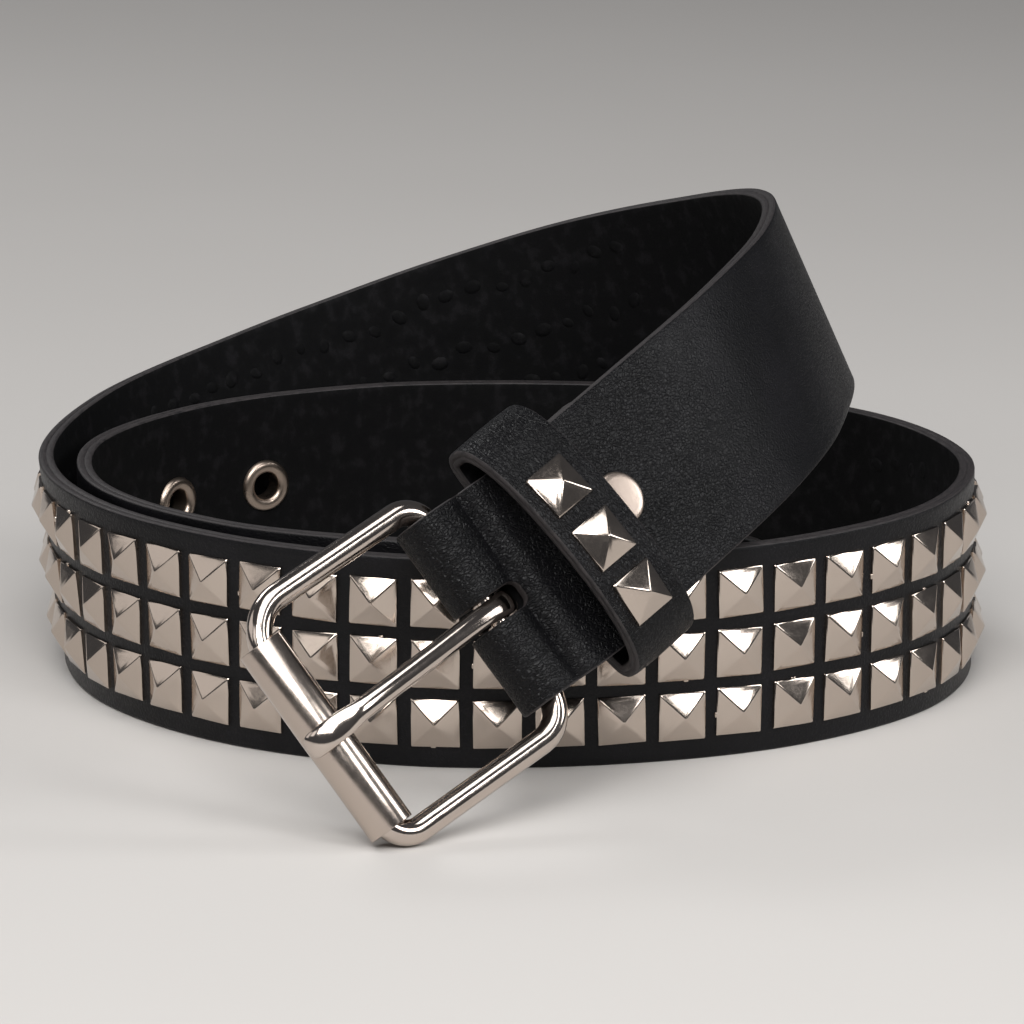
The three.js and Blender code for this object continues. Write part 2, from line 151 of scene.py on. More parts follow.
def pick(obj: Object, part: Part, test: Callable) -> None:
    """Selects the parts of a piece that pass a test on their place or normal.

    Args:
        obj: The piece, in edit mode.
        part: Kind of part.
        test: Takes one vertex, edge or face and says whether it is picked.
    """
    mesh = bmesh.from_edit_mesh(obj.data)
    mesh.normal_update()
    for item in getattr(mesh, part.value):
        item.select_set(bool(test(item)))
    bmesh.update_edit_mesh(obj.data)


def move_picked(obj: Object, matrix: Matrix) -> None:
    """Carries the selected vertices of a piece in edit mode by a matrix."""
    mesh = bmesh.from_edit_mesh(obj.data)
    for vert in mesh.verts:
        if vert.select:
            vert.co = matrix @ vert.co
    bmesh.update_edit_mesh(obj.data)


def modify(obj: Object, kind: str, **settings) -> None:
    """Adds a modifier to a piece and applies it.

    Args:
        obj: The piece.
        kind: Modifier type.
        **settings: Values of the modifier's settings.
    """
    activate(obj)
    modifier = obj.modifiers.new(kind.lower(), kind)
    for key, value in settings.items():
        setattr(modifier, key, value)
    bpy.ops.object.modifier_apply(modifier=modifier.name)


def smooth(obj: Object, degrees: float) -> None:
    """Shades a piece smooth across all edges flatter than an angle."""
    activate(obj)
    bpy.ops.object.shade_smooth_by_angle(angle=math.radians(degrees))


def finished(obj: Object, material: Material, degrees: float) -> Object:
    """Gives a piece its material, and shades it smooth across edges flatter than an angle."""
    obj.data.materials.append(material)
    smooth(obj, degrees)
    return obj


def pick_all() -> None:
    """Selects all of the piece in edit mode."""
    bpy.ops.mesh.select_all(action="SELECT")


def weld(gap: float) -> None:
    """Merges the vertices of the piece in edit mode that lie within a gap, and turns its faces outwards."""
    pick_all()
    bpy.ops.mesh.remove_doubles(threshold=gap)
    pick_all()
    bpy.ops.mesh.normals_make_consistent(inside=False)


def coordinates(mesh: bpy.types.Mesh) -> np.ndarray:
    """Returns the vertex places of a mesh as rows of x, y, z."""
    places = np.empty(len(mesh.vertices) * 3)
    mesh.vertices.foreach_get("co", places)
    return places.reshape(-1, 3)


def set_coordinates(mesh: bpy.types.Mesh, places: np.ndarray) -> None:
    """Moves the vertices of a mesh to rows of x, y, z."""
    mesh.vertices.foreach_set("co", places.ravel())
    mesh.update()


def lay_pattern(obj: Object) -> None:
    """Gives a flat piece its pattern coordinates, in centimetres, from its place on the bench."""
    mesh = obj.data
    layer = mesh.uv_layers.get("grain") or mesh.uv_layers.new(name="grain")
    corners = np.empty(len(mesh.loops), dtype=np.int32)
    mesh.loops.foreach_get("vertex_index", corners)
    places = coordinates(mesh)[corners]
    flat = np.column_stack((places[:, 0], places[:, 1] + places[:, 2])) / 10
    layer.uv.foreach_set("vector", flat.ravel())


def join(pieces: Sequence[Object], name: str) -> Object:
    """Joins pieces into one.

    Args:
        pieces: The pieces, the first of which takes in the others.
        name: Name of the joined piece.

    Returns:
        The joined piece.
    """
    activate(pieces[0])
    for piece in pieces:
        piece.select_set(True)
    bpy.ops.object.join()
    pieces[0].name = name
    pieces[0].data.name = name
    return pieces[0]


def copied(obj: Object, name: str, matrix: Matrix) -> Object:
    """Copies a piece with a mesh of its own, carried by a matrix."""
    twin = obj.copy()
    twin.data = obj.data.copy()
    twin.name = name
    twin.data.name = name
    twin.data.transform(matrix)
    bpy.context.scene.collection.objects.link(twin)
    return twin


def turned(name: str, outline: Rows, segments: int, angle: float = 2 * math.pi) -> Object:
    """Spins a closed outline about z.

    Args:
        name: Name of the piece.
        outline: Rows of radius and height, closed on themselves.
        segments: Steps of the turn.
        angle: Turn in radians. Less than a full turn leaves two capped ends.

    Returns:
        The turned piece.
    """
    deselect()
    bpy.ops.mesh.primitive_circle_add(vertices=len(outline), radius=1)
    obj = started(name)
    for vert, (radius, height) in zip(obj.data.vertices, outline):
        vert.co = (radius, 0, height)
    full = angle > 2 * math.pi - 1e-6
    with editing(obj, Part.VERTS):
        pick_all()
        if not full:
            bpy.ops.mesh.edge_face_add()
        bpy.ops.mesh.spin(steps=segments, angle=angle, center=(0, 0, 0), axis=(0, 0, 1))
        weld(gap=1e-4)
        bpy.ops.mesh.delete_loose(use_faces=False)
    return obj


def swept(name: str, sections: Sequence[Matrix], sides: int) -> Object:
    """Extrudes a round section through a row of places.

    Args:
        name: Name of the piece.
        sections: Matrices that carry the unit circle to each place.
        sides: Points round the section.

    Returns:
        The swept piece, with its ends capped.
    """
    deselect()
    bpy.ops.mesh.primitive_circle_add(vertices=sides, radius=1)
    obj = started(name)
    obj.data.transform(sections[0])
    with editing(obj, Part.VERTS):
        pick_all()
        bpy.ops.mesh.edge_face_add()
        for before, after in zip(sections, sections[1:]):
            bpy.ops.mesh.extrude_region_move()
            move_picked(obj, after @ before.inverted())
        weld(gap=1e-3)
    return obj


# Route of the leather


def smoothstep(values: np.ndarray, low: float, high: float) -> np.ndarray:
    """Rises smoothly from 0 at low to 1 at high."""
    share = np.clip((values - low) / (high - low), 0, 1)
    return share * share * (3 - 2 * share)


def unit(vectors: np.ndarray) -> np.ndarray:
    """Scales rows to length 1."""
    return vectors / np.linalg.norm(vectors, axis=-1, keepdims=True)


def lengths_along(points: np.ndarray) -> np.ndarray:
    """Length covered at each of a line's points."""
    return np.concatenate(([0.0], np.cumsum(np.linalg.norm(np.diff(points, axis=0), axis=1))))


def axes_for(along: np.ndarray, lean: np.ndarray) -> tuple[np.ndarray, np.ndarray]:
    """Works out how the leather stands on its route.

    Args:
        along: Directions of travel, one a row.
        lean: Angles by which the top edge leans outwards, in radians.

    Returns:
        Rows of the down direction and of the grain side's direction.
    """
    up = unit(np.array([0.0, 0.0, 1.0]) - along * along[:, 2:3])
    level = np.cross(up, along)
    across = up * np.cos(lean)[:, None] + level * np.sin(lean)[:, None]
    return -across, np.cross(across, along)


@dataclass
class LeatherPath:
    """Line that flat leather is laid along, as samples by length."""

    lengths: np.ndarray
    points: np.ndarray
    along: np.ndarray
    down: np.ndarray
    out: np.ndarray

    def at(self, rows: np.ndarray, lengths: np.ndarray) -> np.ndarray:
        """Reads one kind of row at given lengths."""
        return np.column_stack([np.interp(lengths, self.lengths, rows[:, axis]) for axis in range(3)])

    def carry(self, flat: np.ndarray) -> np.ndarray:
        """Carries flat places, x along, y down and z out, onto the path."""
        lengths = flat[:, 0]
        place = self.at(self.points, lengths)
        place += self.at(self.down, lengths) * flat[:, 1:2]
        return place + self.at(self.out, lengths) * flat[:, 2:3]

    def stand(self, length: float) -> list[np.ndarray]:
        """Point of the middle line at one length, and the directions along, down and out there."""
        spot = np.array([length])
        return [self.at(rows, spot)[0] for rows in (self.points, self.along, self.down, self.out)]

    def matrix(self, length: float, down: float = 0.0, out: float = 0.0) -> Matrix:
        """Matrix that carries a rigid piece's x, y, z to along, down and out at one place."""
        axes = self.stand(length)[1:]
        place = self.carry(np.array([[length, down, out]]))[0]
        return Matrix.Translation(place) @ Matrix(np.array(axes).T.tolist()).to_4x4()

    @property
    def total(self) -> float:
        """Whole length of the path."""
        return float(self.lengths[-1])


@dataclass(frozen=True)
class BuckleAxes:
    """Where the buckle's bar lies, and how the buckle is turned."""

    bar: Triple = (-0.2, -26.8, 37.0)
    heading: float = 219.0
    dip: float = 21.5
    lean: float = -33.5

    def rows(self) -> tuple[np.ndarray, np.ndarray, np.ndarray]:
        """Directions along the buckle, down its bars and out of its face."""
        heading, dip = math.radians(self.heading), math.radians(self.dip)
        level = math.cos(dip)
        along = np.array([[math.cos(heading) * level, math.sin(heading) * level, -math.sin(dip)]])
        down, out = axes_for(along, np.array([math.radians(self.lean)]))
        return along[0], down[0], out[0]

    def matrix(self) -> Matrix:
        """Matrix from reach, down and rise to the route's axes."""
        axes = np.array(self.rows()).T.tolist()
        return Matrix.Translation(self.bar) @ Matrix(axes).to_4x4()

    def spot(self, reach: float, down: float, rise: float) -> np.ndarray:
        """A point given by its reach from the bar, its place down the bar and its rise."""
        return np.array(self.matrix() @ Vector((reach, down, rise)))


@dataclass(frozen=True)
class StrapRoute:
    """Route of the strap's centre line, from the free tip to the buckle and round its bar.

    Each row holds x, y, z and the lean of the top edge in degrees.
    """

    buckle: BuckleAxes
    thickness: float = 3.2
    shift: float = 1.0
    bore: float = 3.4
    fold_length: float = 14.0
    turn: Pair = (84, -90)
    turn_steps: int = 30
    climb: Pair = (0.08, 0.96)
    climb_steps: int = 12
    climb_pull: float = 1.5
    meet: float = 10.5
    back_layer: float = 41.0
    back_steps: int = 24
    rows: Rows = (
        (62.5, 19, 21, 0), (23, 11, 21, 0), (-16, 10, 21, 0), (-53, 24, 21, 0), (-79.5, 55, 21, 0),
        (-83.2, 93, 21, 0), (-62.5, 127, 21, 0), (-27, 146, 21, 0), (12, 149, 21, 0), (51, 140, 21, 0),
        (83, 115, 21, 0), (97, 79, 21, 0), (88, 40, 21, 0), (60, 12, 21, 0), (23, -2, 21, 0),
        (-16, -3, 21, 0), (-53, 13, 21.1, 0), (-80, 43, 21.3, 3), (-90, 81, 22, 7), (-80, 120, 25, 10),
        (-54, 148, 31, 13), (-20, 164, 41, 7), (18, 161, 54, -2), (49, 139, 65, -13), (64, 104, 73, -23),
        (62, 64, 73, -24), (50, 27, 68, -30), (28, -5.5, 56, -33),
    )

    @property
    def rise(self) -> float:
        """Height of the strap's centre line over the bar's."""
        return self.bore + self.thickness / 2

    def centre_line(self, per_row: int = 40) -> tuple[np.ndarray, np.ndarray]:
        """Samples the centre line up to the bar.

        Args:
            per_row: Samples between two rows.

        Returns:
            Rows of points, and leans in radians.
        """
        rows = [list(row) for row in self.rows]
        for reach in (-self.fold_length, 0.0):
            rows.append([*self.buckle.spot(reach, -self.shift, self.rise), self.buckle.lean])
        knots = np.array(rows)
        knots = np.vstack((2 * knots[0] - knots[1], knots, 2 * knots[-1] - knots[-2]))
        points, leans = [], []
        share = np.arange(per_row)[:, None] / per_row
        for four in (knots[i:i + 4] for i in range(len(knots) - 3)):
            steps = np.vstack((share, [[1.0]])) if np.array_equal(four[2], knots[-2]) else share
            points.append(self.centripetal(four[:, :3], steps))
            leans.append(self.cubic(four[1, 3], four[2, 3], (four[2, 3] - four[0, 3]) / 2,
                                    (four[3, 3] - four[1, 3]) / 2, steps)[:, 0])
        return np.vstack(points), np.radians(np.concatenate(leans))

    @staticmethod
    def cubic(start, end, leave, arrive, share: np.ndarray) -> np.ndarray:
        """Cubic curve between two values with given slopes at its ends."""
        square = -3 * start + 3 * end - 2 * leave - arrive
        cube = 2 * start - 2 * end + leave + arrive
        return start + leave * share + square * share ** 2 + cube * share ** 3

    def centripetal(self, four: np.ndarray, share: np.ndarray) -> np.ndarray:
        """Smooth curve through the middle two of four points, spaced by the root of their distances."""
        gaps = np.sqrt(np.linalg.norm(np.diff(four, axis=0), axis=1))
        before, here, after = gaps
        first, middle, last = np.diff(four, axis=0)
        leave = first / before - (four[2] - four[0]) / (before + here) + middle / here
        arrive = middle / here - (four[3] - four[1]) / (here + after) + last / after
        return self.cubic(four[1], four[2], leave * here, arrive * here, share)

    def path(self) -> LeatherPath:
        """Whole path of the leather: the route, the turn round the bar and the layer behind it."""
        points, leans = self.centre_line()
        before = np.vstack((points[:1], points[:-1]))
        after = np.vstack((points[1:], points[-1:]))
        along = unit(after - before)
        down, out = axes_for(along, leans)
        front = LeatherPath(lengths_along(points), points, along, down, out)
        parts = (front, self.fold(), self.behind(front))
        points, along, down, out = (
            np.vstack([getattr(part, kind) for part in parts]) for kind in ("points", "along", "down", "out"))
        return LeatherPath(lengths_along(points), points, along, down, out)

    def fold(self) -> LeatherPath:
        """Half turn round the bar and the way back up to the front layer."""
        along, down, out = self.buckle.rows()
        centre = self.buckle.spot(0, -self.shift, 0)
        turn = np.radians(np.linspace(*self.turn, self.turn_steps))
        reach, rise = self.rise * np.cos(turn), self.rise * np.sin(turn)
        heading = np.column_stack((np.sin(turn), -np.cos(turn)))
        share = np.linspace(*self.climb, self.climb_steps)[:, None]
        goal = self.rise - self.thickness
        start, end = np.array([0.0, -self.rise]), np.array([-self.meet, goal])
        pull = np.array([-self.climb_pull * self.meet, 0.0])
        climb = self.cubic(start, end, pull, pull, share)
        slope = unit(np.gradient(climb, axis=0))
        flat = np.vstack((np.column_stack((reach, rise)), climb))
        heading = np.vstack((heading, slope))
        points = centre + flat[:, :1] * along + flat[:, 1:] * out
        ahead = heading[:, :1] * along + heading[:, 1:] * out
        downs = np.repeat(down[None], len(points), axis=0)
        return LeatherPath(np.zeros(len(points)), points, ahead, downs, np.cross(ahead, downs))

    def behind(self, front: LeatherPath) -> LeatherPath:
        """Layer that lies behind the front one, with its grain side turned away."""
        reach = front.total - np.linspace(self.meet, self.back_layer, self.back_steps)
        out = front.at(front.out, reach)
        points = front.at(front.points, reach) - self.thickness * out
        return LeatherPath(reach, points, -front.at(front.along, reach), front.at(front.down, reach), -out)


# Finishes


class Recipe:
    """Shader nodes of one material."""

    def __init__(self, name: str) -> None:
        """Starts a material with a plain surface shader."""
        self.material = bpy.data.materials.new(name)
        self.material.use_nodes = True
        self.tree = self.material.node_tree
        self.surface = self.tree.nodes["Principled BSDF"]

    def node(self, kind: str, inputs: dict | None = None, **settings) -> bpy.types.Node:
        """Adds a node.

        Args:
            kind: Node type.
            inputs: Input name or number to its value, or to the socket that feeds it.
            **settings: Values of the node's own settings.

        Returns:
            The new node.
        """
        node = self.tree.nodes.new(kind)
        for key, value in settings.items():
            setattr(node, key, value)
        for key, value in (inputs or {}).items():
            self.feed(node, key, value)
        return node

    def feed(self, node: bpy.types.Node, key: str | int, value) -> None:
        """Sets an input, or links it where the value is a socket."""
        if isinstance(value, Socket):
            self.tree.links.new(value, node.inputs[key])
        else:
            node.inputs[key].default_value = value

    def coat(self, inputs: dict) -> Material:
        """Feeds the surface and returns the finished material."""
        for key, value in inputs.items():
            self.feed(self.surface, key, value)
        return self.material

    def math(self, operation: str, first, second=0.0, third=0.0) -> Socket:
        """Returns the result of one calculation."""
        inputs = {0: first, 1: second, 2: third}
        return self.node("ShaderNodeMath", inputs, operation=operation).outputs[0]

    def scaled(self, vector, scale: Triple) -> Socket:
        """Stretches pattern coordinates."""
        return self.node("ShaderNodeMapping", {"Vector": vector, "Scale": scale}).outputs[0]

    def vector(self, operation: str, first, second) -> Socket:
        """Returns the result of one calculation with vectors."""
        return self.node("ShaderNodeVectorMath", {0: first, 1: second}, operation=operation).outputs[0]

    def ramp(self, value, low: float, high: float, start: float = 0.0, end: float = 1.0) -> Socket:
        """Maps a value smoothly from one range to another."""
        inputs = {"Value": value, "From Min": low, "From Max": high, "To Min": start, "To Max": end}
        node = self.node("ShaderNodeMapRange", inputs, interpolation_type="SMOOTHSTEP", clamp=True)
        return node.outputs[0]

    def blend(self, share, first, second) -> Socket:
        """Mixes two colours."""
        node = self.node("ShaderNodeMix", {0: share}, data_type="RGBA")
        self.feed(node, 6, first)
        self.feed(node, 7, second)
        return node.outputs[2]

    def pattern(self, scale: Triple = (10, 10, 10)) -> Socket:
        """Pattern coordinates of flat-made leather, in millimetres unless scaled otherwise."""
        source = self.node("ShaderNodeUVMap", uv_map="grain").outputs[0]
        return self.scaled(source, scale)

    def place(self, scale: float = 1000) -> Socket:
        """Places on the piece itself, in millimetres."""
        source = self.node("ShaderNodeTexCoord").outputs["Object"]
        return self.scaled(source, (scale, scale, scale))

    def grain(self, vector, scale: float, detail: float = 3.0, rough: float = 0.55) -> Socket:
        """Cloudy pattern."""
        inputs = {"Vector": vector, "Scale": scale, "Detail": detail, "Roughness": rough}
        return self.node("ShaderNodeTexNoise", inputs).outputs[0]

    def cells(self, vector, scale: float, feature: str) -> Socket:
        """Cell pattern: distance to the nearest centre or wall."""
        inputs = {"Vector": vector, "Scale": scale}
        return self.node("ShaderNodeTexVoronoi", inputs, feature=feature).outputs[0]

    def relief(self, height, depth: float, strength: float, normal=None) -> Socket:
        """Turns heights into a bumped normal, with a depth in metres."""
        inputs = {"Strength": strength, "Distance": depth, "Height": height}
        if normal is not None:
            inputs["Normal"] = normal
        return self.node("ShaderNodeBump", inputs).outputs[0]


@dataclass(frozen=True)
class GrainLeather:
    """Black pebbled grain side, with deeper creases where the leather was worked, and shade painted into its
    colour between the pebbles and along the creases.

    Scales are counts for each millimetre. Depths are in metres.
    """

    name: str = "black_grain"
    dark: Color = (0.0022, 0.0022, 0.0028, 1)
    light: Color = (0.0075, 0.0070, 0.0088, 1)
    roughness: Pair = (0.46, 0.30)
    specular: float = 0.21
    drift_scale: float = 0.7
    drift: Triple = (1.1, 1.1, 0)
    pebble_scale: float = 1.7
    pebble_walls: Pair = (0.05, 0.75)
    pebble_depth: float = 0.00013
    fine_scale: float = 5.0
    fine_share: float = 0.3
    plain_share: float = 0.3
    worked_share: float = 0.35
    crease_scale: float = 1.15
    crease_stretch: Triple = (0.85, 1.5, 1)
    crease_width: float = 0.2
    crease_depth: float = 0.00021
    cloud_scale: float = 0.06
    cloud_range: Pair = (0.3, 0.75)
    # Share of the grain's colour painted darker between the pebbles, as shade
    pebble_painted_shade: float = 0.6

    def make(self) -> Material:
        """Builds the material."""
        r = Recipe(self.name)
        flat = r.pattern()
        clouds = r.node("ShaderNodeTexNoise", {"Vector": flat, "Scale": self.drift_scale, "Detail": 3.0})
        warped = r.vector("ADD", flat, r.vector("MULTIPLY", clouds.outputs[1], self.drift))
        pebble = r.ramp(r.cells(warped, self.pebble_scale, "F1"), *self.pebble_walls, 1.0, 0.0)
        fine = r.grain(flat, self.fine_scale, 4.0)
        worked = r.node("ShaderNodeAttribute", attribute_name="crease").outputs["Fac"]
        # Crease lines: a bump, and the same mask paints shade into the colour along them where the leather is
        # worked
        walls = r.cells(r.scaled(warped, self.crease_stretch), self.crease_scale, "DISTANCE_TO_EDGE")
        crease_relief_and_shade = r.ramp(walls, 0.0, self.crease_width)
        crease_relief_and_shade = r.math("MULTIPLY_ADD", r.math("SUBTRACT", crease_relief_and_shade, 1.0), worked, 1.0)
        height = r.math("MULTIPLY_ADD", fine, self.fine_share, pebble)
        swollen = r.math("MULTIPLY_ADD", worked, self.worked_share, self.plain_share)
        height = r.math("MULTIPLY", height, swollen)
        small = r.relief(height, self.pebble_depth, 0.75)
        cloud = r.ramp(r.grain(flat, self.cloud_scale, 3.0), *self.cloud_range)
        # Painted shade: the colour is darker between the pebbles and along the worked crease lines
        painted_shade = r.math("MULTIPLY_ADD", pebble, self.pebble_painted_shade, 1 - self.pebble_painted_shade)
        painted_shade = r.math("MULTIPLY", r.math("MULTIPLY", cloud, painted_shade), crease_relief_and_shade)
        wear = r.math("MULTIPLY_ADD", fine, 0.5, r.math("MULTIPLY", pebble, 0.5))
        return r.coat({
            "Base Color": r.blend(painted_shade, self.dark, self.light),
            "Roughness": r.ramp(wear, 0.1, 0.9, *self.roughness),
            "Normal": r.relief(crease_relief_and_shade, self.crease_depth, 0.9, small),
            "Specular IOR Level": self.specular,
        })


@dataclass(frozen=True)
class CutEdge:
    """Burnished grey edge of the leather, with its fibres showing."""

    name: str = "grey_edge"
    dark: Color = (0.010, 0.009, 0.010, 1)
    light: Color = (0.036, 0.031, 0.0315, 1)
    roughness: Pair = (0.5, 0.68)
    specular: float = 0.35
    fibre_scale: Triple = (4, 30, 30)
    fibre_share: float = 0.7
    speck_scale: Triple = (20, 20, 20)
    depth: float = 0.00008

    def make(self) -> Material:
        """Builds the material."""
        r = Recipe(self.name)
        fibres = r.grain(r.pattern(self.fibre_scale), 1.0, 4.0)
        specks = r.grain(r.pattern(self.speck_scale), 1.0, 3.0)
        rest = r.math("MULTIPLY", specks, 1 - self.fibre_share)
        share = r.math("MULTIPLY_ADD", fibres, self.fibre_share, rest)
        return r.coat({
            "Base Color": r.blend(r.ramp(share, 0.3, 0.65), self.dark, self.light),
            "Roughness": r.ramp(specks, 0.2, 0.8, *self.roughness),
            "Normal": r.relief(share, self.depth, 0.6),
            "Specular IOR Level": self.specular,
        })


@dataclass(frozen=True)
class LinedBack:
    """Dull black inner face."""

    name: str = "black_back"
    dark: Color = (0.0015, 0.0015, 0.0018, 1)
    light: Color = (0.0072, 0.0067, 0.0078, 1)
    roughness: Pair = (0.82, 0.66)
    specular: float = 0.12
    nap_scale: Triple = (30, 30, 30)
    nap_share: Pair = (0.4, 1.0)
    scuff_scale: Triple = (3.0, 2.4, 3.0)
    depth: float = 0.00008

    def make(self) -> Material:
        """Builds the material."""
        r = Recipe(self.name)
        nap = r.grain(r.pattern(self.nap_scale), 1.0, 5.0, 0.65)
        scuffs = r.grain(r.pattern(self.scuff_scale), 1.0, 4.0)
        share = r.math("MULTIPLY", r.ramp(nap, 0.25, 0.7, *self.nap_share), r.ramp(scuffs, 0.50, 0.70))
        return r.coat({
            "Base Color": r.blend(share, self.dark, self.light),
            "Roughness": r.ramp(scuffs, 0.3, 0.7, *self.roughness),
            "Normal": r.relief(nap, self.depth, 0.7),
            "Specular IOR Level": self.specular,
        })


@dataclass(frozen=True)
class Nickel:
    """Plated metal: its colour, its polish, and how much its surface wanders."""

    name: str
    color: Color = (0.54, 0.465, 0.405, 1)
    roughness: Pair = (0.11, 0.21)
    dents: float = 0.00004
    dent_scale: float = 0.35
    haze_scale: float = 0.25
    brush_scale: float = 2.5
    brush_depth: float = 0.000004

    def make(self) -> Material:
        """Builds the material."""
        r = Recipe(self.name)
        spots = r.place()
        haze = r.grain(spots, self.haze_scale, 4.0)
        brush = r.grain(spots, self.brush_scale, 4.0, 0.6)
        share = r.math("MULTIPLY_ADD", brush, 0.5, r.math("MULTIPLY", haze, 0.5))
        dent = r.relief(r.grain(spots, self.dent_scale, 2.0), self.dents, 0.35)
        return r.coat({
            "Base Color": self.color,
            "Metallic": 1.0,
            "Roughness": r.ramp(share, 0.3, 0.72, *self.roughness),
            "Normal": r.relief(brush, self.brush_depth, 0.3, dent),
        })


@dataclass(frozen=True)
class PaleFloor:
    """Matt pale floor."""

    name: str = "pale_floor"
    light: Color = (0.58, 0.56, 0.54, 1)
    dark: Color = (0.54, 0.52, 0.50, 1)
    cloud_scale: float = 0.004
    roughness: float = 0.7

    def make(self) -> Material:
        """Builds the material."""
        r = Recipe(self.name)
        cloud = r.grain(r.place(), self.cloud_scale, 3.0)
        return r.coat({"Base Color": r.blend(cloud, self.dark, self.light), "Roughness": self.roughness})


@dataclass(frozen=True)
class Finishes:
    """All materials of the belt."""

    grain: Material
    edge: Material
    back: Material
    stud: Material
    eyelet: Material
    wire: Material
    roller: Material
    rivet: Material

    @classmethod
    def mixed(cls) -> "Finishes":
        """Makes every finish once."""
        return cls(
            grain=GrainLeather().make(),
            edge=CutEdge().make(),
            back=LinedBack().make(),
            stud=Nickel("stud_nickel").make(),
            eyelet=Nickel("eyelet_nickel", (0.40, 0.325, 0.27, 1), (0.26, 0.38)).make(),
            wire=Nickel("wire_nickel", (0.58, 0.505, 0.45, 1), (0.09, 0.16)).make(),
            roller=Nickel("roller_nickel", (0.52, 0.445, 0.39, 1), (0.16, 0.26), 0.00003).make(),
            rivet=Nickel("rivet_nickel", (0.52, 0.43, 0.37, 1), (0.28, 0.42), 0.00006, 0.8).make(),
        )


# Sub-assemblies


def hand_over(obj: Object, body: Body, slot: Slot, *nodes: str) -> None:
    """Brings a finished piece to metres and hands it to the frame.

    Args:
        obj: The piece, in millimetres in the route's axes.
        body: Body that it moves with.
        slot: Record slot of its finish; not used.
        *nodes: Solids that it stands for.
    """
    obj.data.transform(Matrix.Scale(MM, 4) @ Matrix.Translation(-ORIGIN))
    obj.data.update()
    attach(obj, body.value)
    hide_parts(*nodes)
    log.info("%s: %d faces", obj.name, len(obj.data.polygons))


@dataclass
class FlatStrip:
    """Flat strip of leather on the bench: x along, y down, z out, the grain side up."""

    name: str
    length: float
    width: float
    thickness: float
    step: float = 1.6
    cross_step: float = 1.75
    rim: float = 0.55
    seam: float = 0.28
    seam_depth: float = 0.22
    rim_steps: int = 3
    side_tilt: float = 0.75

    def cut(self) -> Object:
        """Cuts the strip, rounds its rims and presses a fine line along its edge."""
        deselect()
        bpy.ops.mesh.primitive_grid_add(
            x_subdivisions=round(self.length / self.step),
            y_subdivisions=round(self.width / self.cross_step), size=1)
        obj = started(self.name)
        top = self.thickness / 2
        with editing(obj, Part.FACES):
            pick_all()
            bpy.ops.transform.resize(value=(self.length, self.width, 1))
            bpy.ops.transform.translate(value=(self.length / 2, 0, top))
            for drop in (top - self.seam, self.seam, self.seam, top - self.seam):
                bpy.ops.mesh.extrude_region_move(TRANSFORM_OT_translate={"value": (0, 0, -drop)})
            pick_all()
            bpy.ops.mesh.normals_make_consistent(inside=False)
        with editing(obj, Part.EDGES):
            pick(obj, Part.EDGES, self.is_rim)
            bpy.ops.mesh.bevel(offset=self.rim, segments=self.rim_steps, affect="EDGES")
            pick(obj, Part.VERTS, lambda vert: abs(vert.co.z) < 0.01)
            share = 1 - 2 * self.seam_depth / self.width
            bpy.ops.transform.resize(value=(1, share, 1), center_override=(self.length / 2, 0, 0))
        return obj

    @staticmethod
    def is_rim(edge: bmesh.types.BMEdge) -> bool:
        """Whether an edge lies between a face and the cut edge of the strip."""
        tilts = [abs(face.normal.z) for face in edge.link_faces]
        return max(tilts) > FACING and min(tilts) < UPRIGHT

    def dress(self, obj: Object, finishes: Finishes) -> None:
        """Gives grain side, cut edge and back their materials, while the strip is flat."""
        for material in (finishes.grain, finishes.edge, finishes.back):
            obj.data.materials.append(material)
        normals = np.empty(len(obj.data.polygons) * 3)
        obj.data.polygons.foreach_get("normal", normals)
        tilt = normals.reshape(-1, 3)[:, 2]
        kinds = np.where(tilt > self.side_tilt, 0, np.where(tilt < -self.side_tilt, 2, 1)).astype(np.int32)
        obj.data.polygons.foreach_set("material_index", kinds)
        lay_pattern(obj)

    @staticmethod
    def mark_creases(obj: Object, worked: np.ndarray) -> None:
        """Stores how deeply the leather is creased at each vertex."""
        layer = obj.data.attributes.new("crease", "FLOAT", "POINT")
        layer.data.foreach_set("value", worked.astype(np.float32))


def wander(places: np.ndarray, pitch: float, seed: float) -> np.ndarray:
    """Soft random heights between about -1 and 1.

    Args:
        places: Rows of x, y, z in millimetres.
        pitch: Size of the swells.
        seed: Shift that makes one piece unlike another.

    Returns:
        One height a row.
    """
    return np.array([noise.noise(Vector((x / pitch, y / pitch + seed, seed))) for x, y, _ in places])


@dataclass(frozen=True)
class Swell:
    """Rise or dip of the leather's grain side at a distance from a line or a point."""

    place: float
    height: float
    width: float
    power: float = 2.0

    def at(self, distance: np.ndarray) -> np.ndarray:
        """Height gained at each distance."""
        return self.height * np.exp(-np.abs((distance - self.place) / self.width) ** self.power)


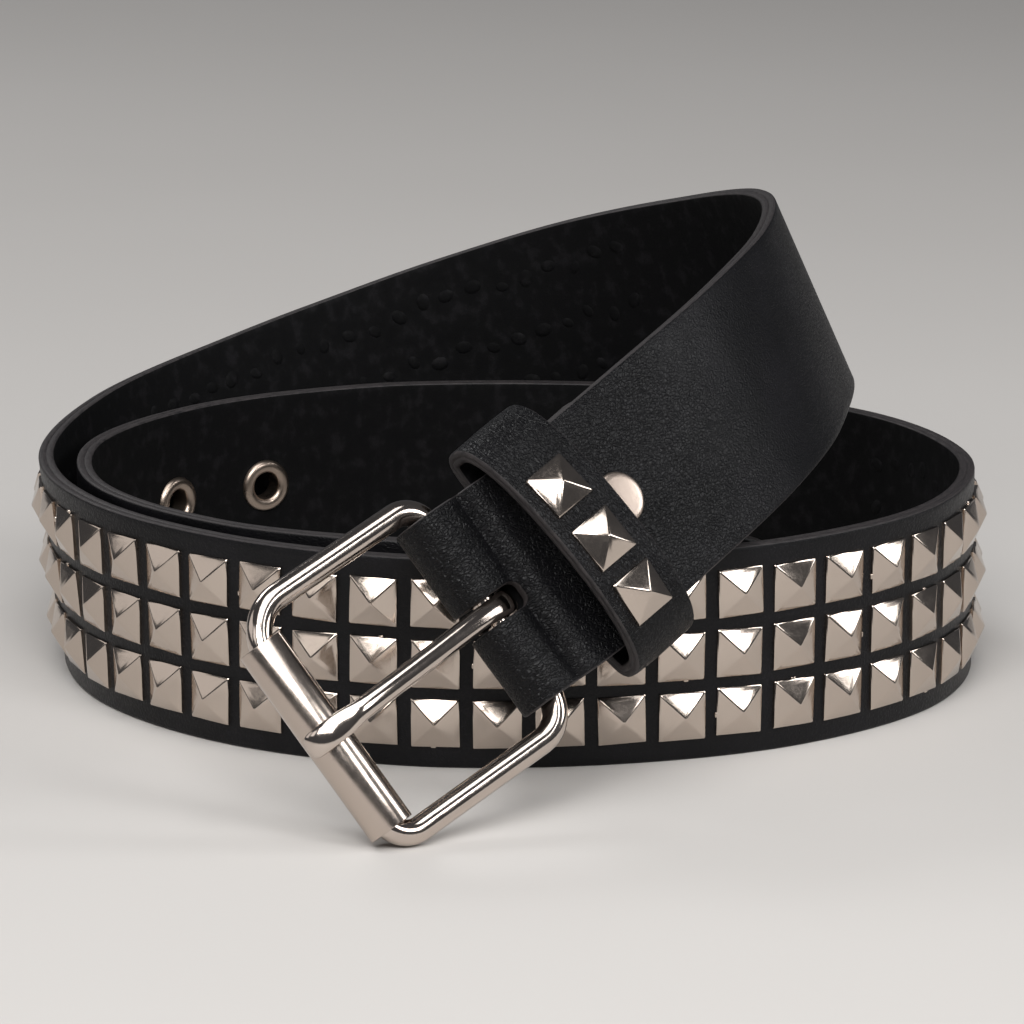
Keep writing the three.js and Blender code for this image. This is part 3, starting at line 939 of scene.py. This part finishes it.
@dataclass
class Strap:
    """The long strap: tip, eyelet holes, studded stretch, free bend and fold."""

    path: LeatherPath
    bar_length: float
    width: float = 42.0
    thickness: float = 3.2
    tip_length: float = 20.0
    tip_half: float = 5.0
    hole: float = 3.6
    slot_half: float = 2.75
    slot_start: float = 5.4
    slot_end: float = 24.0
    slot_round: float = 1.8
    slot_rim: float = 0.3
    slot_shift: float = 1.0
    rounds: int = 32
    folds: tuple[Swell, ...] = (Swell(4.8, -1.6, 1.35, 1.7), Swell(9.0, 0.45, 2.0), Swell(14.0, -0.35, 1.8))
    fold_sway: Pair = (0.5, 9.0)
    rivet_place: Pair = (34.0, -1.1)
    rivet_dimple: Swell = Swell(0.0, -0.45, 6.5)
    pucker: Swell = Swell(8.0, 0.10, 4.5)
    pucker_count: int = 7
    soft_height: float = 0.12
    soft_from: Pair = (-75, -20)
    crease_least: float = 0.12
    crease_from: Pair = (-85, -38)
    edge_sway: float = 0.10
    fine_from: float = 30.0
    rows_at: Triple = (0.0, 0.84, 1.0)

    def half_width(self, lengths: np.ndarray) -> np.ndarray:
        """Half width at each length from the tip, whose end is an ellipse."""
        reach = np.clip(1 - lengths / self.tip_length, 0, 1)
        return self.tip_half + (self.width / 2 - self.tip_half) * np.sqrt(1 - reach ** 2)

    def relief(self, flat: np.ndarray) -> np.ndarray:
        """Height that the grain side gains at each place: the pressed groove, ridge and dimples."""
        back = self.bar_length - flat[:, 0]
        sway, swing = self.fold_sway
        bend = back + sway * np.sin(flat[:, 1] / swing)
        height = sum(fold.at(bend) for fold in self.folds)
        along, across = back - self.rivet_place[0], flat[:, 1] - self.rivet_place[1]
        away = np.hypot(along, across)
        height += self.rivet_dimple.at(away)
        height += np.sin(self.pucker_count * np.arctan2(across, along)) * self.pucker.at(away)
        soft = self.soft_height * smoothstep(-back, *self.soft_from)
        return height + soft * wander(flat, 6, 3.1)

    def build(self, finishes: Finishes, holes: Sequence[Pair]) -> Object:
        """Makes the strap.

        Args:
            finishes: Materials of the belt.
            holes: Length and place down the strap of each eyelet's hole.

        Returns:
            The strap, laid along its path.
        """
        strip = FlatStrip("strap_leather", self.path.total, self.width, self.thickness)
        obj = strip.cut()
        flat = coordinates(obj.data)
        flat[:, 0] = np.interp(flat[:, 0] / self.path.total, self.rows_at, [
            0, self.bar_length - self.fine_from, self.path.total])
        flat[:, 1] *= self.half_width(flat[:, 0]) / (self.width / 2)
        set_coordinates(obj.data, flat)
        self.punch(obj, holes)
        strip.dress(obj, finishes)
        flat = coordinates(obj.data)
        back = self.bar_length - flat[:, 0]
        worked = self.crease_least + (1 - self.crease_least) * smoothstep(-back, *self.crease_from)
        strip.mark_creases(obj, worked * (0.75 + 0.35 * wander(flat, 9, 8.4)))
        grain_side = smoothstep(flat[:, 2], *RELIEF_FROM)
        sway = self.edge_sway * wander(flat * [1, 0, 0], 21, 5.0)
        flat[:, 2] += grain_side * self.relief(flat)
        flat[:, 1] += sway * smoothstep(np.abs(flat[:, 1]), 15, 21) * np.sign(flat[:, 1])
        set_coordinates(obj.data, self.path.carry(flat))
        smooth(obj, 40)
        return obj

    def punch(self, obj: Object, holes: Sequence[Pair]) -> None:
        """Cuts the eyelet holes and the prong's slot."""
        cutters = []
        for i, (length, down) in enumerate(holes):
            deselect()
            bpy.ops.mesh.primitive_cylinder_add(
                vertices=self.rounds, radius=self.hole, depth=4 * self.thickness, location=(length, down, 0))
            cutters.append(started(f"hole_{i}"))
        deselect()
        start, end = self.bar_length - self.slot_start, self.bar_length + self.slot_end
        bpy.ops.mesh.primitive_cube_add(
            size=1, location=((start + end) / 2, self.slot_shift, 0),
            scale=(end - start, 2 * self.slot_half, 4 * self.thickness))
        slot = started("slot_cutter")
        with editing(slot, Part.EDGES):
            pick(slot, Part.EDGES, lambda edge: abs(edge.verts[0].co.z - edge.verts[1].co.z) > 1)
            bpy.ops.mesh.bevel(offset=self.slot_round, segments=6, affect="EDGES")
        cutters.append(slot)
        punch = join(cutters, "punch")
        modify(obj, "BOOLEAN", operation="DIFFERENCE", object=punch, solver="EXACT")
        bpy.data.objects.remove(punch)
        with editing(obj, Part.EDGES):
            pick(obj, Part.EDGES, lambda edge: self.is_slot_rim(edge, start, end))
            bpy.ops.mesh.bevel(offset=self.slot_rim, segments=2, affect="EDGES", clamp_overlap=False)

    def is_slot_rim(self, edge: bmesh.types.BMEdge, start: float, end: float) -> bool:
        """Whether an edge lies between the grain side and the wall of the slot."""
        tilts = [face.normal.z for face in edge.link_faces]
        middle = (edge.verts[0].co + edge.verts[1].co) / 2
        margin = 0.1
        inside = (start - margin < middle.x < end + margin
                  and abs(middle.y) < self.slot_half + self.slot_shift + margin)
        return inside and max(tilts) > FACING and min(tilts) < UPRIGHT


@dataclass
class Stud:
    """One pyramid stud with soft ridges and a low wall."""

    side: float = 9.5
    wall: float = 0.5
    height: float = 2.8
    foot: float = 0.5
    ridge: float = 0.26
    cushion: Pair = (0.95, 0.02)
    slope_area: float = 5.0
    ridge_angle: float = 18.0

    def build(self, name: str, material: Material) -> Object:
        """Makes the stud at the bench's middle, its base at z = 0.

        Args:
            name: Name of the stud.
            material: Its finish.

        Returns:
            The stud.
        """
        deselect()
        rise = self.height - self.wall
        bpy.ops.mesh.primitive_cone_add(
            vertices=4, radius1=self.side / math.sqrt(2), radius2=0, depth=rise,
            location=(0, 0, self.wall + rise / 2), rotation=(0, 0, math.pi / 4))
        obj = started(name)
        with editing(obj, Part.FACES):
            pick(obj, Part.FACES, lambda face: face.normal.z < -FACING)
            bpy.ops.mesh.extrude_region_move(TRANSFORM_OT_translate={"value": (0, 0, -self.wall - self.foot)})
        with editing(obj, Part.EDGES):
            pick(obj, Part.EDGES, self.is_ridge)
            bpy.ops.mesh.bevel(offset=self.ridge, segments=2, affect="EDGES")
        with editing(obj, Part.FACES):
            pick(obj, Part.FACES, lambda face: UPRIGHT < face.normal.z and face.calc_area() > self.slope_area)
            bpy.ops.mesh.inset(thickness=self.cushion[0], depth=self.cushion[1], use_individual=True)
        return finished(obj, material, 34)

    def is_ridge(self, edge: bmesh.types.BMEdge) -> bool:
        """Whether an edge runs from a corner towards the tip, or round the base of the slopes."""
        low = min(vert.co.z for vert in edge.verts)
        steps = [face.normal.angle(edge.link_faces[0].normal) for face in edge.link_faces]
        return low > self.wall - 0.05 and max(steps) > math.radians(self.ridge_angle)


@dataclass
class StudRows:
    """Three rows of studs on the strap, with their clenched prongs behind."""

    path: LeatherPath
    stud: Stud
    thickness: float = 3.2
    first: float = 403.5
    pitch: float = 11.93
    columns: int = 42
    rows: int = 3
    sway: float = 0.12
    twist: float = 1.6
    root_share: float = 0.4
    root_size: Triple = (0.8, 1.1, 0.7)
    root_round: float = 0.22
    root_sway: float = 2.2
    clench_reach: float = 2.9
    clench_sway: Pair = (0.5, 1.4)
    clench_sizes: Pair = (0.75, 1.1)
    clench_shape: Triple = (1.9, 1.4, 0.26)

    def places(self) -> list[tuple[int, float, float]]:
        """Row number, length and place down the strap of every stud."""
        middle = (self.rows - 1) / 2
        return [(row, self.first + self.pitch * column, (row - middle) * self.pitch)
                for row in range(self.rows) for column in range(self.columns)]

    def build(self, finishes: Finishes) -> list[Object]:
        """Makes each row of studs as one piece."""
        chance = random.Random(11)
        model = self.stud.build("stud_model", finishes.stud)
        root = self.root(finishes)
        rows: list[list[Object]] = [[] for _ in range(self.rows)]
        for row, length, down in self.places():
            length += chance.uniform(-1, 1) * self.sway
            down += chance.uniform(-1, 1) * self.sway
            spot = self.path.matrix(length, down, self.thickness / 2)
            turn, tilt, lean = (
                Matrix.Rotation(math.radians(chance.uniform(-1, 1) * self.twist), 4, axis) for axis in "ZXY")
            quarter = Matrix.Rotation(math.pi / 2 * chance.randrange(4), 4, "Z")
            place = spot @ turn @ tilt @ lean @ quarter
            rows[row].append(copied(model, f"stud_{row}_{len(rows[row])}", place))
            if chance.random() < self.root_share:
                sway = chance.uniform(-self.root_sway, self.root_sway)
                beside = Matrix.Translation((self.stud.side / 2, sway, 0))
                rows[row].append(copied(root, f"root_{row}_{len(rows[row])}", spot @ turn @ quarter @ beside))
        bpy.data.objects.remove(model)
        bpy.data.objects.remove(root)
        names = ("studs_upper", "studs_middle", "studs_lower")
        return [join(row, name) for row, name in zip(rows, names)]

    def root(self, finishes: Finishes) -> Object:
        """Makes the root of a prong, which shows beside some studs where it enters the leather."""
        deselect()
        bpy.ops.mesh.primitive_cube_add(size=1, scale=self.root_size)
        obj = started("root_model")
        with editing(obj, Part.EDGES):
            pick(obj, Part.EDGES, lambda edge: max(vert.co.z for vert in edge.verts) > 0)
            bpy.ops.mesh.bevel(offset=self.root_round, segments=2, affect="EDGES")
        return finished(obj, finishes.stud, 50)

    def clenches(self, finishes: Finishes) -> Object:
        """Makes the small bumps where the prongs are clenched behind the strap."""
        chance = random.Random(23)
        deselect()
        bpy.ops.mesh.primitive_ico_sphere_add(subdivisions=2, radius=1)
        model = started("clench_model")
        model.data.materials.append(finishes.back)
        bumps = []
        along_sway, across_sway = self.clench_sway
        for _, length, down in self.places():
            for side in (-1, 1):
                spot = self.path.matrix(
                    length + side * (self.clench_reach + chance.uniform(-along_sway, along_sway)),
                    down + chance.uniform(-across_sway, across_sway), -self.thickness / 2)
                size = chance.uniform(*self.clench_sizes)
                shape = Matrix.Diagonal([size * share for share in self.clench_shape] + [1])
                turn = Matrix.Rotation(chance.uniform(0, math.pi), 4, "Z")
                bumps.append(copied(model, f"clench_{len(bumps)}", spot @ turn @ shape))
        bpy.data.objects.remove(model)
        obj = join(bumps, "clenched_prongs")
        lay_pattern(obj)
        smooth(obj, 60)
        return obj


@dataclass
class Eyelet:
    """Rolled eyelet: a tube whose ends curl over both faces of the leather."""

    bore: float = 2.9
    tube: float = 3.4
    rim: float = 5.6
    seat: float = 1.6
    crown: float = 1.15
    segments: int = 40

    def outline(self) -> list[Pair]:
        """Closed outline of the wall, with a rolled rim at each end."""
        middle = (self.bore + self.rim) / 2
        half = (self.rim - self.bore) / 2
        arc = [math.radians(angle) for angle in (0, 30, 60, 85, 110, 135, 160, 180)]
        top = [(middle + half * math.cos(a), self.seat + self.crown * math.sin(a) ** 0.8 if 0 < a < math.pi
                else self.seat) for a in arc]
        bottom = [(radius, -height) for radius, height in reversed(top)]
        return top + [(self.bore, self.seat - 0.4), (self.bore, 0.4 - self.seat)] + bottom + [
            (self.tube, -self.seat + 0.05), (self.tube, self.seat - 0.05)]

    def build(self, name: str, material: Material) -> Object:
        """Makes the eyelet at the bench's middle."""
        return finished(turned(name, self.outline(), self.segments), material, 50)


@dataclass
class Rivet:
    """Flat-headed rivet through both layers of the fold."""

    head: float = 5.2
    foot: float = 2.5
    height: float = 1.0
    post: float = 1.8
    front: float = 1.3
    back: float = -4.8
    segments: int = 48

    def build(self, material: Material) -> Object:
        """Makes the rivet at the bench's middle."""
        edge, foot, top, low = self.head, self.foot, self.front + self.height, self.back - self.height
        outline = [
            (0, top), (edge - 1.4, top - 0.02), (edge - 0.6, top - 0.10), (edge - 0.2, top - 0.30),
            (edge, top - 0.65), (edge - 0.08, self.front), (self.post, self.front),
            (self.post, self.back), (foot - 0.08, self.back), (foot, low + 0.6), (foot - 0.2, low + 0.2),
            (foot - 0.8, low), (0, low)]
        return finished(turned("rivet_cap", outline, self.segments), material, 40)


@dataclass
class Keeper:
    """Leather loop that stands off the strap behind the buckle, with three studs."""

    strap_path: LeatherPath
    bar_length: float
    place: float = 21.5
    tilt: float = 7.5
    band: float = 16.5
    thickness: float = 3.0
    half_width: float = 24.4
    side: float = 0.8
    centre: float = -1.7
    front: float = 10.5
    back: float = 4.2
    front_round: float = 2.2
    back_round: float = 6.0
    stud_pitch: float = 12.4
    stud_shift: float = 2.8
    stud_reach: float = 0.75
    samples: int = 241
    fine_samples: int = 1441
    joint: float = 0.08
    swell: float = 0.25
    sunk: float = 0.12

    def outline(self, angles: np.ndarray) -> np.ndarray:
        """Sides and rises of the loop's middle line at given angles."""
        across, rise = np.cos(angles), np.sin(angles)
        offset = self.thickness / 2
        is_front = rise >= 0
        power = np.where(is_front, 2 / self.front_round, 2 / self.back_round)
        height = np.where(is_front, self.front, self.back) + offset
        sides = (self.half_width + offset) * np.sign(across) * np.abs(across) ** power
        return np.column_stack((sides, self.centre + height * np.sign(rise) * np.abs(rise) ** power))

    def path(self) -> LeatherPath:
        """Path round the loop, from the butt joint at its back and round again."""
        middle, along, down, out = self.strap_path.stand(self.bar_length - self.place)
        flat = self.outline(np.linspace(1.5 * math.pi, -math.pi / 2, self.fine_samples))
        lengths = lengths_along(flat)
        even = np.linspace(0, lengths[-1], self.samples)
        flat = np.column_stack([np.interp(even, lengths, flat[:, axis]) for axis in (0, 1)])
        reach = flat[:, 1] * math.tan(math.radians(self.tilt))
        points = middle + reach[:, None] * along - (flat[:, :1] + self.side) * down + flat[:, 1:] * out
        ring = np.vstack((points[-2], points, points[1]))
        heading = unit(ring[2:] - ring[:-2])
        bands = np.repeat(along[None], len(points), axis=0)
        outward = unit(np.cross(heading, bands))
        return LeatherPath(even, points, heading, bands, outward)

    def build(self, finishes: Finishes) -> Object:
        """Makes the loop."""
        path = self.path()
        strip = FlatStrip("keeper_loop", path.total - self.joint, self.band, self.thickness, step=0.8,
                          cross_step=1.25, rim=0.7, seam=0.25, seam_depth=0.12)
        obj = strip.cut()
        strip.dress(obj, finishes)
        flat = coordinates(obj.data)
        swell = self.swell * np.cos(np.clip(flat[:, 1] / (self.band / 2), -1, 1) * math.pi / 2)
        strip.mark_creases(obj, 0.75 + 0.25 * wander(flat, 7, 1.7))
        grain_side = smoothstep(flat[:, 2], *RELIEF_FROM)
        flat[:, 2] += grain_side * (swell - self.sunk + 0.10 * wander(flat, 5, 4.4))
        set_coordinates(obj.data, path.carry(flat))
        smooth(obj, 40)
        return obj

    def studs(self, stud: Stud, finishes: Finishes) -> list[Object]:
        """Makes the three studs on the loop's front."""
        path = self.path()
        middle, _, down, out = self.strap_path.stand(self.bar_length - self.place)
        sides = -(path.points - middle) @ down - self.side
        rises = (path.points - middle) @ out
        model = stud.build("keeper_stud_model", finishes.stud)
        studs = []
        for i in range(3):
            goal = (1 - i) * self.stud_pitch - self.stud_shift
            index = int(np.argmin(np.where(rises > 0, np.abs(sides - goal), np.inf)))
            matrix = path.matrix(float(path.lengths[index]), self.stud_reach, self.thickness / 2 + 0.1)
            studs.append(copied(model, f"keeper_pyramid_{i + 1}", matrix))
        bpy.data.objects.remove(model)
        return studs


@dataclass
class BuckleWire:
    """The frame: one round wire bent to a rectangle with round corners."""

    axes: BuckleAxes
    radius: float = 2.5
    width: float = 50.8
    length: float = 44.1
    bar_corners: Pair = (5.0, 7.5)
    roller_corners: Pair = (9.5, 5.2)
    sides: int = 28
    run_steps: int = 6
    corner_steps: int = 12

    def build(self, material: Material) -> Object:
        """Bends the wire: straight runs are extruded and corners are spun."""
        deselect()
        bpy.ops.mesh.primitive_circle_add(
            vertices=self.sides, radius=self.radius, location=(self.length, 0, 0),
            rotation=(math.pi / 2, 0, 0))
        obj = started("buckle_wire")
        half = self.width / 2
        near_top, near_low = self.bar_corners
        far_top, far_low = self.roller_corners
        with editing(obj, Part.VERTS):
            pick_all()
            self.run(0, half - far_low)
            self.corner(self.length - far_low, half - far_low)
            self.run(near_low + far_low - self.length, 0)
            self.corner(near_low, half - near_low)
            self.run(0, near_top + near_low - self.width)
            self.corner(near_top, near_top - half)
            self.run(self.length - near_top - far_top, 0)
            self.corner(self.length - far_top, far_top - half)
            self.run(0, half - far_top)
            weld(gap=0.01)
        obj.data.transform(self.axes.matrix())
        return finished(obj, material, 60)

    def run(self, reach: float, down: float) -> None:
        """Draws the wire out straight."""
        step = (reach / self.run_steps, down / self.run_steps, 0)
        for _ in range(self.run_steps):
            bpy.ops.mesh.extrude_region_move(TRANSFORM_OT_translate={"value": step})

    def corner(self, reach: float, down: float) -> None:
        """Bends the wire by a quarter turn about a point."""
        bpy.ops.mesh.spin(
            steps=self.corner_steps, angle=math.pi / 2, center=(reach, down, 0), axis=(0, 0, -1))


@dataclass
class Roller:
    """Sheet-metal tube on the frame's far bar, with the open seam where the sheet's ends meet."""

    axes: BuckleAxes
    bore: float = 4.05
    radius: float = 4.6
    length: float = 42.0
    shift: float = 1.45
    reach: float = 43.35
    rise: float = -0.4
    seam: float = 5.0
    seam_at: float = 128.0
    segments: int = 72
    rim: float = 0.14

    def build(self, material: Material) -> Object:
        """Rolls the sheet."""
        half = self.length / 2
        outline = [(self.bore, -half), (self.radius, -half), (self.radius, half), (self.bore, half)]
        obj = turned("roller_sleeve", outline, self.segments, math.radians(360 - self.seam))
        modify(obj, "BEVEL", width=self.rim, segments=2, limit_method="ANGLE", angle_limit=math.radians(50))
        turn = Matrix.Rotation(math.radians(self.seam_at), 4, "Z")
        upright = Matrix.Rotation(math.pi / 2, 4, "X")
        place = Matrix.Translation((self.reach, self.shift, self.rise))
        obj.data.transform(self.axes.matrix() @ place @ upright @ turn)
        return finished(obj, material, 40)


@dataclass
class Prong:
    """Prong: curled round the bar, with a round shank and a flattened tip on the roller.

    Each row of the shank holds reach, rise, half width, half height and the place down the bar.
    """

    axes: BuckleAxes
    curl: float = 4.15
    curl_half: float = 2.4
    curl_height: float = 0.95
    turn: Pair = (375, 96)
    turn_steps: int = 26
    sides: int = 20
    shank: Rows = (
        (2.2, 4.5, 2.15, 1.1, 0.0), (5.5, 4.85, 2.15, 1.35, 0.05), (9.0, 5.15, 2.15, 1.6, 0.15),
        (16, 5.6, 2.15, 1.7, 0.5), (30, 6.45, 2.15, 1.7, 1.0), (36, 6.6, 2.15, 1.6, 1.2),
        (38.5, 6.5, 2.2, 1.45, 1.28), (40, 6.25, 2.45, 1.2, 1.35), (42, 5.95, 2.6, 1.0, 1.4),
        (44.2, 5.6, 2.65, 0.95, 1.5), (46.0, 5.0, 2.65, 0.95, 1.55), (47.4, 4.1, 2.6, 0.95, 1.6),
        (48.3, 3.2, 2.5, 0.9, 1.65), (48.8, 2.4, 2.2, 0.75, 1.7), (48.9, 2.0, 1.5, 0.45, 1.7),
    )

    def sections(self) -> list[Matrix]:
        """Matrices of the section round the curl and along the shank."""
        size = (self.curl_half, self.curl_height, 0.0)
        rows = [(self.curl * math.cos(angle), self.curl * math.sin(angle), *size)
                for angle in np.radians(np.linspace(*self.turn, self.turn_steps))]
        rows.extend(self.shank)
        places = [Vector((row[0], row[4], row[1])) for row in rows]
        found = []
        for i, row in enumerate(rows):
            ahead = (places[min(i + 1, len(rows) - 1)] - places[max(i - 1, 0)]).normalized()
            across = Vector((0, 1, 0))
            up = ahead.cross(across).normalized()
            across = up.cross(ahead)
            frame_rows = Matrix((across * row[2], up * row[3], ahead)).transposed()
            found.append(Matrix.Translation(places[i]) @ frame_rows.to_4x4())
        return found

    def build(self, material: Material) -> Object:
        """Makes the prong."""
        obj = swept("prong_tongue", self.sections(), self.sides)
        modify(obj, "SUBSURF", levels=1, render_levels=1)
        obj.data.transform(self.axes.matrix())
        return finished(obj, material, 60)


@dataclass
class Belt:
    """The whole belt."""

    finishes: Finishes
    eyelet_first: float = 105.9
    eyelet_pitch: float = 24.8
    eyelet_count: int = 7
    eyelet_down: float = -1.3

    def build(self) -> None:
        """Makes every piece and hands it to the frame."""
        axes = BuckleAxes()
        route = StrapRoute(axes)
        path = route.path()
        bar_length = float(lengths_along(route.centre_line()[0])[-1])
        log.info("strap: %.1f mm to the bar, %.1f mm of leather", bar_length, path.total)
        self.strap(path, bar_length)
        self.keeper(path, bar_length)
        self.buckle(axes)

    def strap(self, path: LeatherPath, bar_length: float) -> None:
        """Makes the strap, its studs, eyelets and rivet."""
        strap = Strap(path, bar_length)
        holes = [(self.eyelet_first + self.eyelet_pitch * i, self.eyelet_down)
                 for i in range(self.eyelet_count)]
        hand_over(strap.build(self.finishes, holes), Body.STRAP, Slot.LEATHER, "studded_strap")
        rows = StudRows(path, Stud())
        for row in rows.build(self.finishes):
            hand_over(row, Body.STRAP, Slot.STUD, "studded_strap")
        hand_over(rows.clenches(self.finishes), Body.STRAP, Slot.LEATHER, "studded_strap")
        model = Eyelet().build("eyelet_model", self.finishes.eyelet)
        for i, (length, down) in enumerate(holes):
            eyelet = copied(model, f"rolled_eyelet_{i + 1}", path.matrix(length, down))
            hand_over(eyelet, Body.STRAP, Slot.EYELET, f"eyelet_{i + 1}")
        bpy.data.objects.remove(model)
        rivet = Rivet().build(self.finishes.rivet)
        rivet.data.transform(path.matrix(bar_length - strap.rivet_place[0], strap.rivet_place[1]))
        hand_over(rivet, Body.STRAP, Slot.STUD, "rivet")

    def keeper(self, path: LeatherPath, bar_length: float) -> None:
        """Makes the keeper and its studs."""
        keeper = Keeper(path, bar_length)
        hand_over(keeper.build(self.finishes), Body.STRAP, Slot.LEATHER, "keeper")
        for i, stud in enumerate(keeper.studs(Stud(foot=0.3), self.finishes)):
            hand_over(stud, Body.STRAP, Slot.STUD, f"keeper_stud_{i + 1}")

    def buckle(self, axes: BuckleAxes) -> None:
        """Makes the frame, the roller and the prong."""
        hand_over(BuckleWire(axes).build(self.finishes.wire), Body.BUCKLE, Slot.BUCKLE, "buckle_frame")
        hand_over(Roller(axes).build(self.finishes.roller), Body.ROLLER, Slot.ROLLER, "roller")
        hand_over(Prong(axes).build(self.finishes.wire), Body.PRONG, Slot.BUCKLE, "prong")


# Camera, floor and lights


@dataclass(frozen=True)
class SoftBox:
    """Soft studio light."""

    name: str
    place: Triple
    target: Triple
    size: Pair
    power: float
    color: Triple = (1, 1, 1)

    def put(self) -> None:
        """Adds the light, turned to its target."""
        data = bpy.data.lights.new(self.name, "AREA")
        data.shape = "RECTANGLE"
        data.size, data.size_y = self.size
        data.energy = self.power
        data.color = self.color
        light = bpy.data.objects.new(self.name, data)
        light.location = self.place
        towards = Vector(self.target) - Vector(self.place)
        light.rotation_euler = towards.to_track_quat("-Z", "Y").to_euler()
        bpy.context.scene.collection.objects.link(light)


@dataclass(frozen=True)
class Studio:
    """Pale floor, soft light and the camera at the photograph's angle."""

    camera_place: Triple = (0.90, -1170.0, 328.1)
    camera_tilt: float = 76.0
    lens: float = 209.3
    sensor: float = 36.0
    sight: float = 50.0
    floor_size: float = 12.0
    sky: Color = (0.065, 0.067, 0.072, 1)
    boxes: tuple[SoftBox, ...] = (
        SoftBox("key_box", (-0.12, -1.02, 0.84), (0, 0, 0.04), (0.90, 0.50), 12.0, (1.0, 0.99, 0.98)),
        SoftBox("overhead_box", (0.0, -0.40, 1.10), (0, 0, 0.04), (0.80, 0.78), 5.8),
        SoftBox("near_left_box", (-0.92, -0.80, 0.72), (0, 0, 0.04), (0.42, 0.46), 0.7, (1.0, 0.97, 0.94)),
        SoftBox("near_right_box", (0.80, -0.80, 0.72), (0, 0, 0.04), (0.30, 0.46), 3.5),
        SoftBox("left_box", (-1.22, -0.06, 0.56), (0, 0, 0.04), (0.96, 0.56), 1.3, (1.0, 0.96, 0.93)),
        SoftBox("right_box", (1.15, -0.05, 0.60), (0, 0, 0.05), (0.34, 0.60), 4.0),
        SoftBox("rim_box", (-0.70, 0.75, 0.85), (0, 0, 0.08), (0.50, 0.30), 3.5),
    )

    def build(self) -> None:
        """Sets the scene."""
        data = bpy.data.cameras.new("camera")
        data.lens = self.lens
        data.sensor_width = self.sensor
        data.clip_end = self.sight
        camera = bpy.data.objects.new("camera", data)
        camera.location = Vector(self.camera_place) * MM
        camera.rotation_euler = (math.radians(self.camera_tilt), 0, 0)
        bpy.context.scene.collection.objects.link(camera)
        bpy.context.scene.camera = camera
        deselect()
        bpy.ops.mesh.primitive_plane_add(size=self.floor_size)
        floor = started("floor")
        floor.data.materials.append(PaleFloor().make())
        for box in self.boxes:
            box.put()
        world = bpy.data.worlds.new("studio")
        world.use_nodes = True
        world.node_tree.nodes["Background"].inputs["Color"].default_value = self.sky
        world.node_tree.nodes["Background"].inputs["Strength"].default_value = 1.0
        bpy.context.scene.world = world
        bpy.context.scene.view_settings.view_transform = "Standard"


def main() -> None:
    """Builds the scene."""
    logging.basicConfig(level=logging.INFO, format="%(name)s: %(message)s")
    Studio().build()
    Belt(Finishes.mixed()).build()
    deselect()


if __name__ == "__main__":
    main()
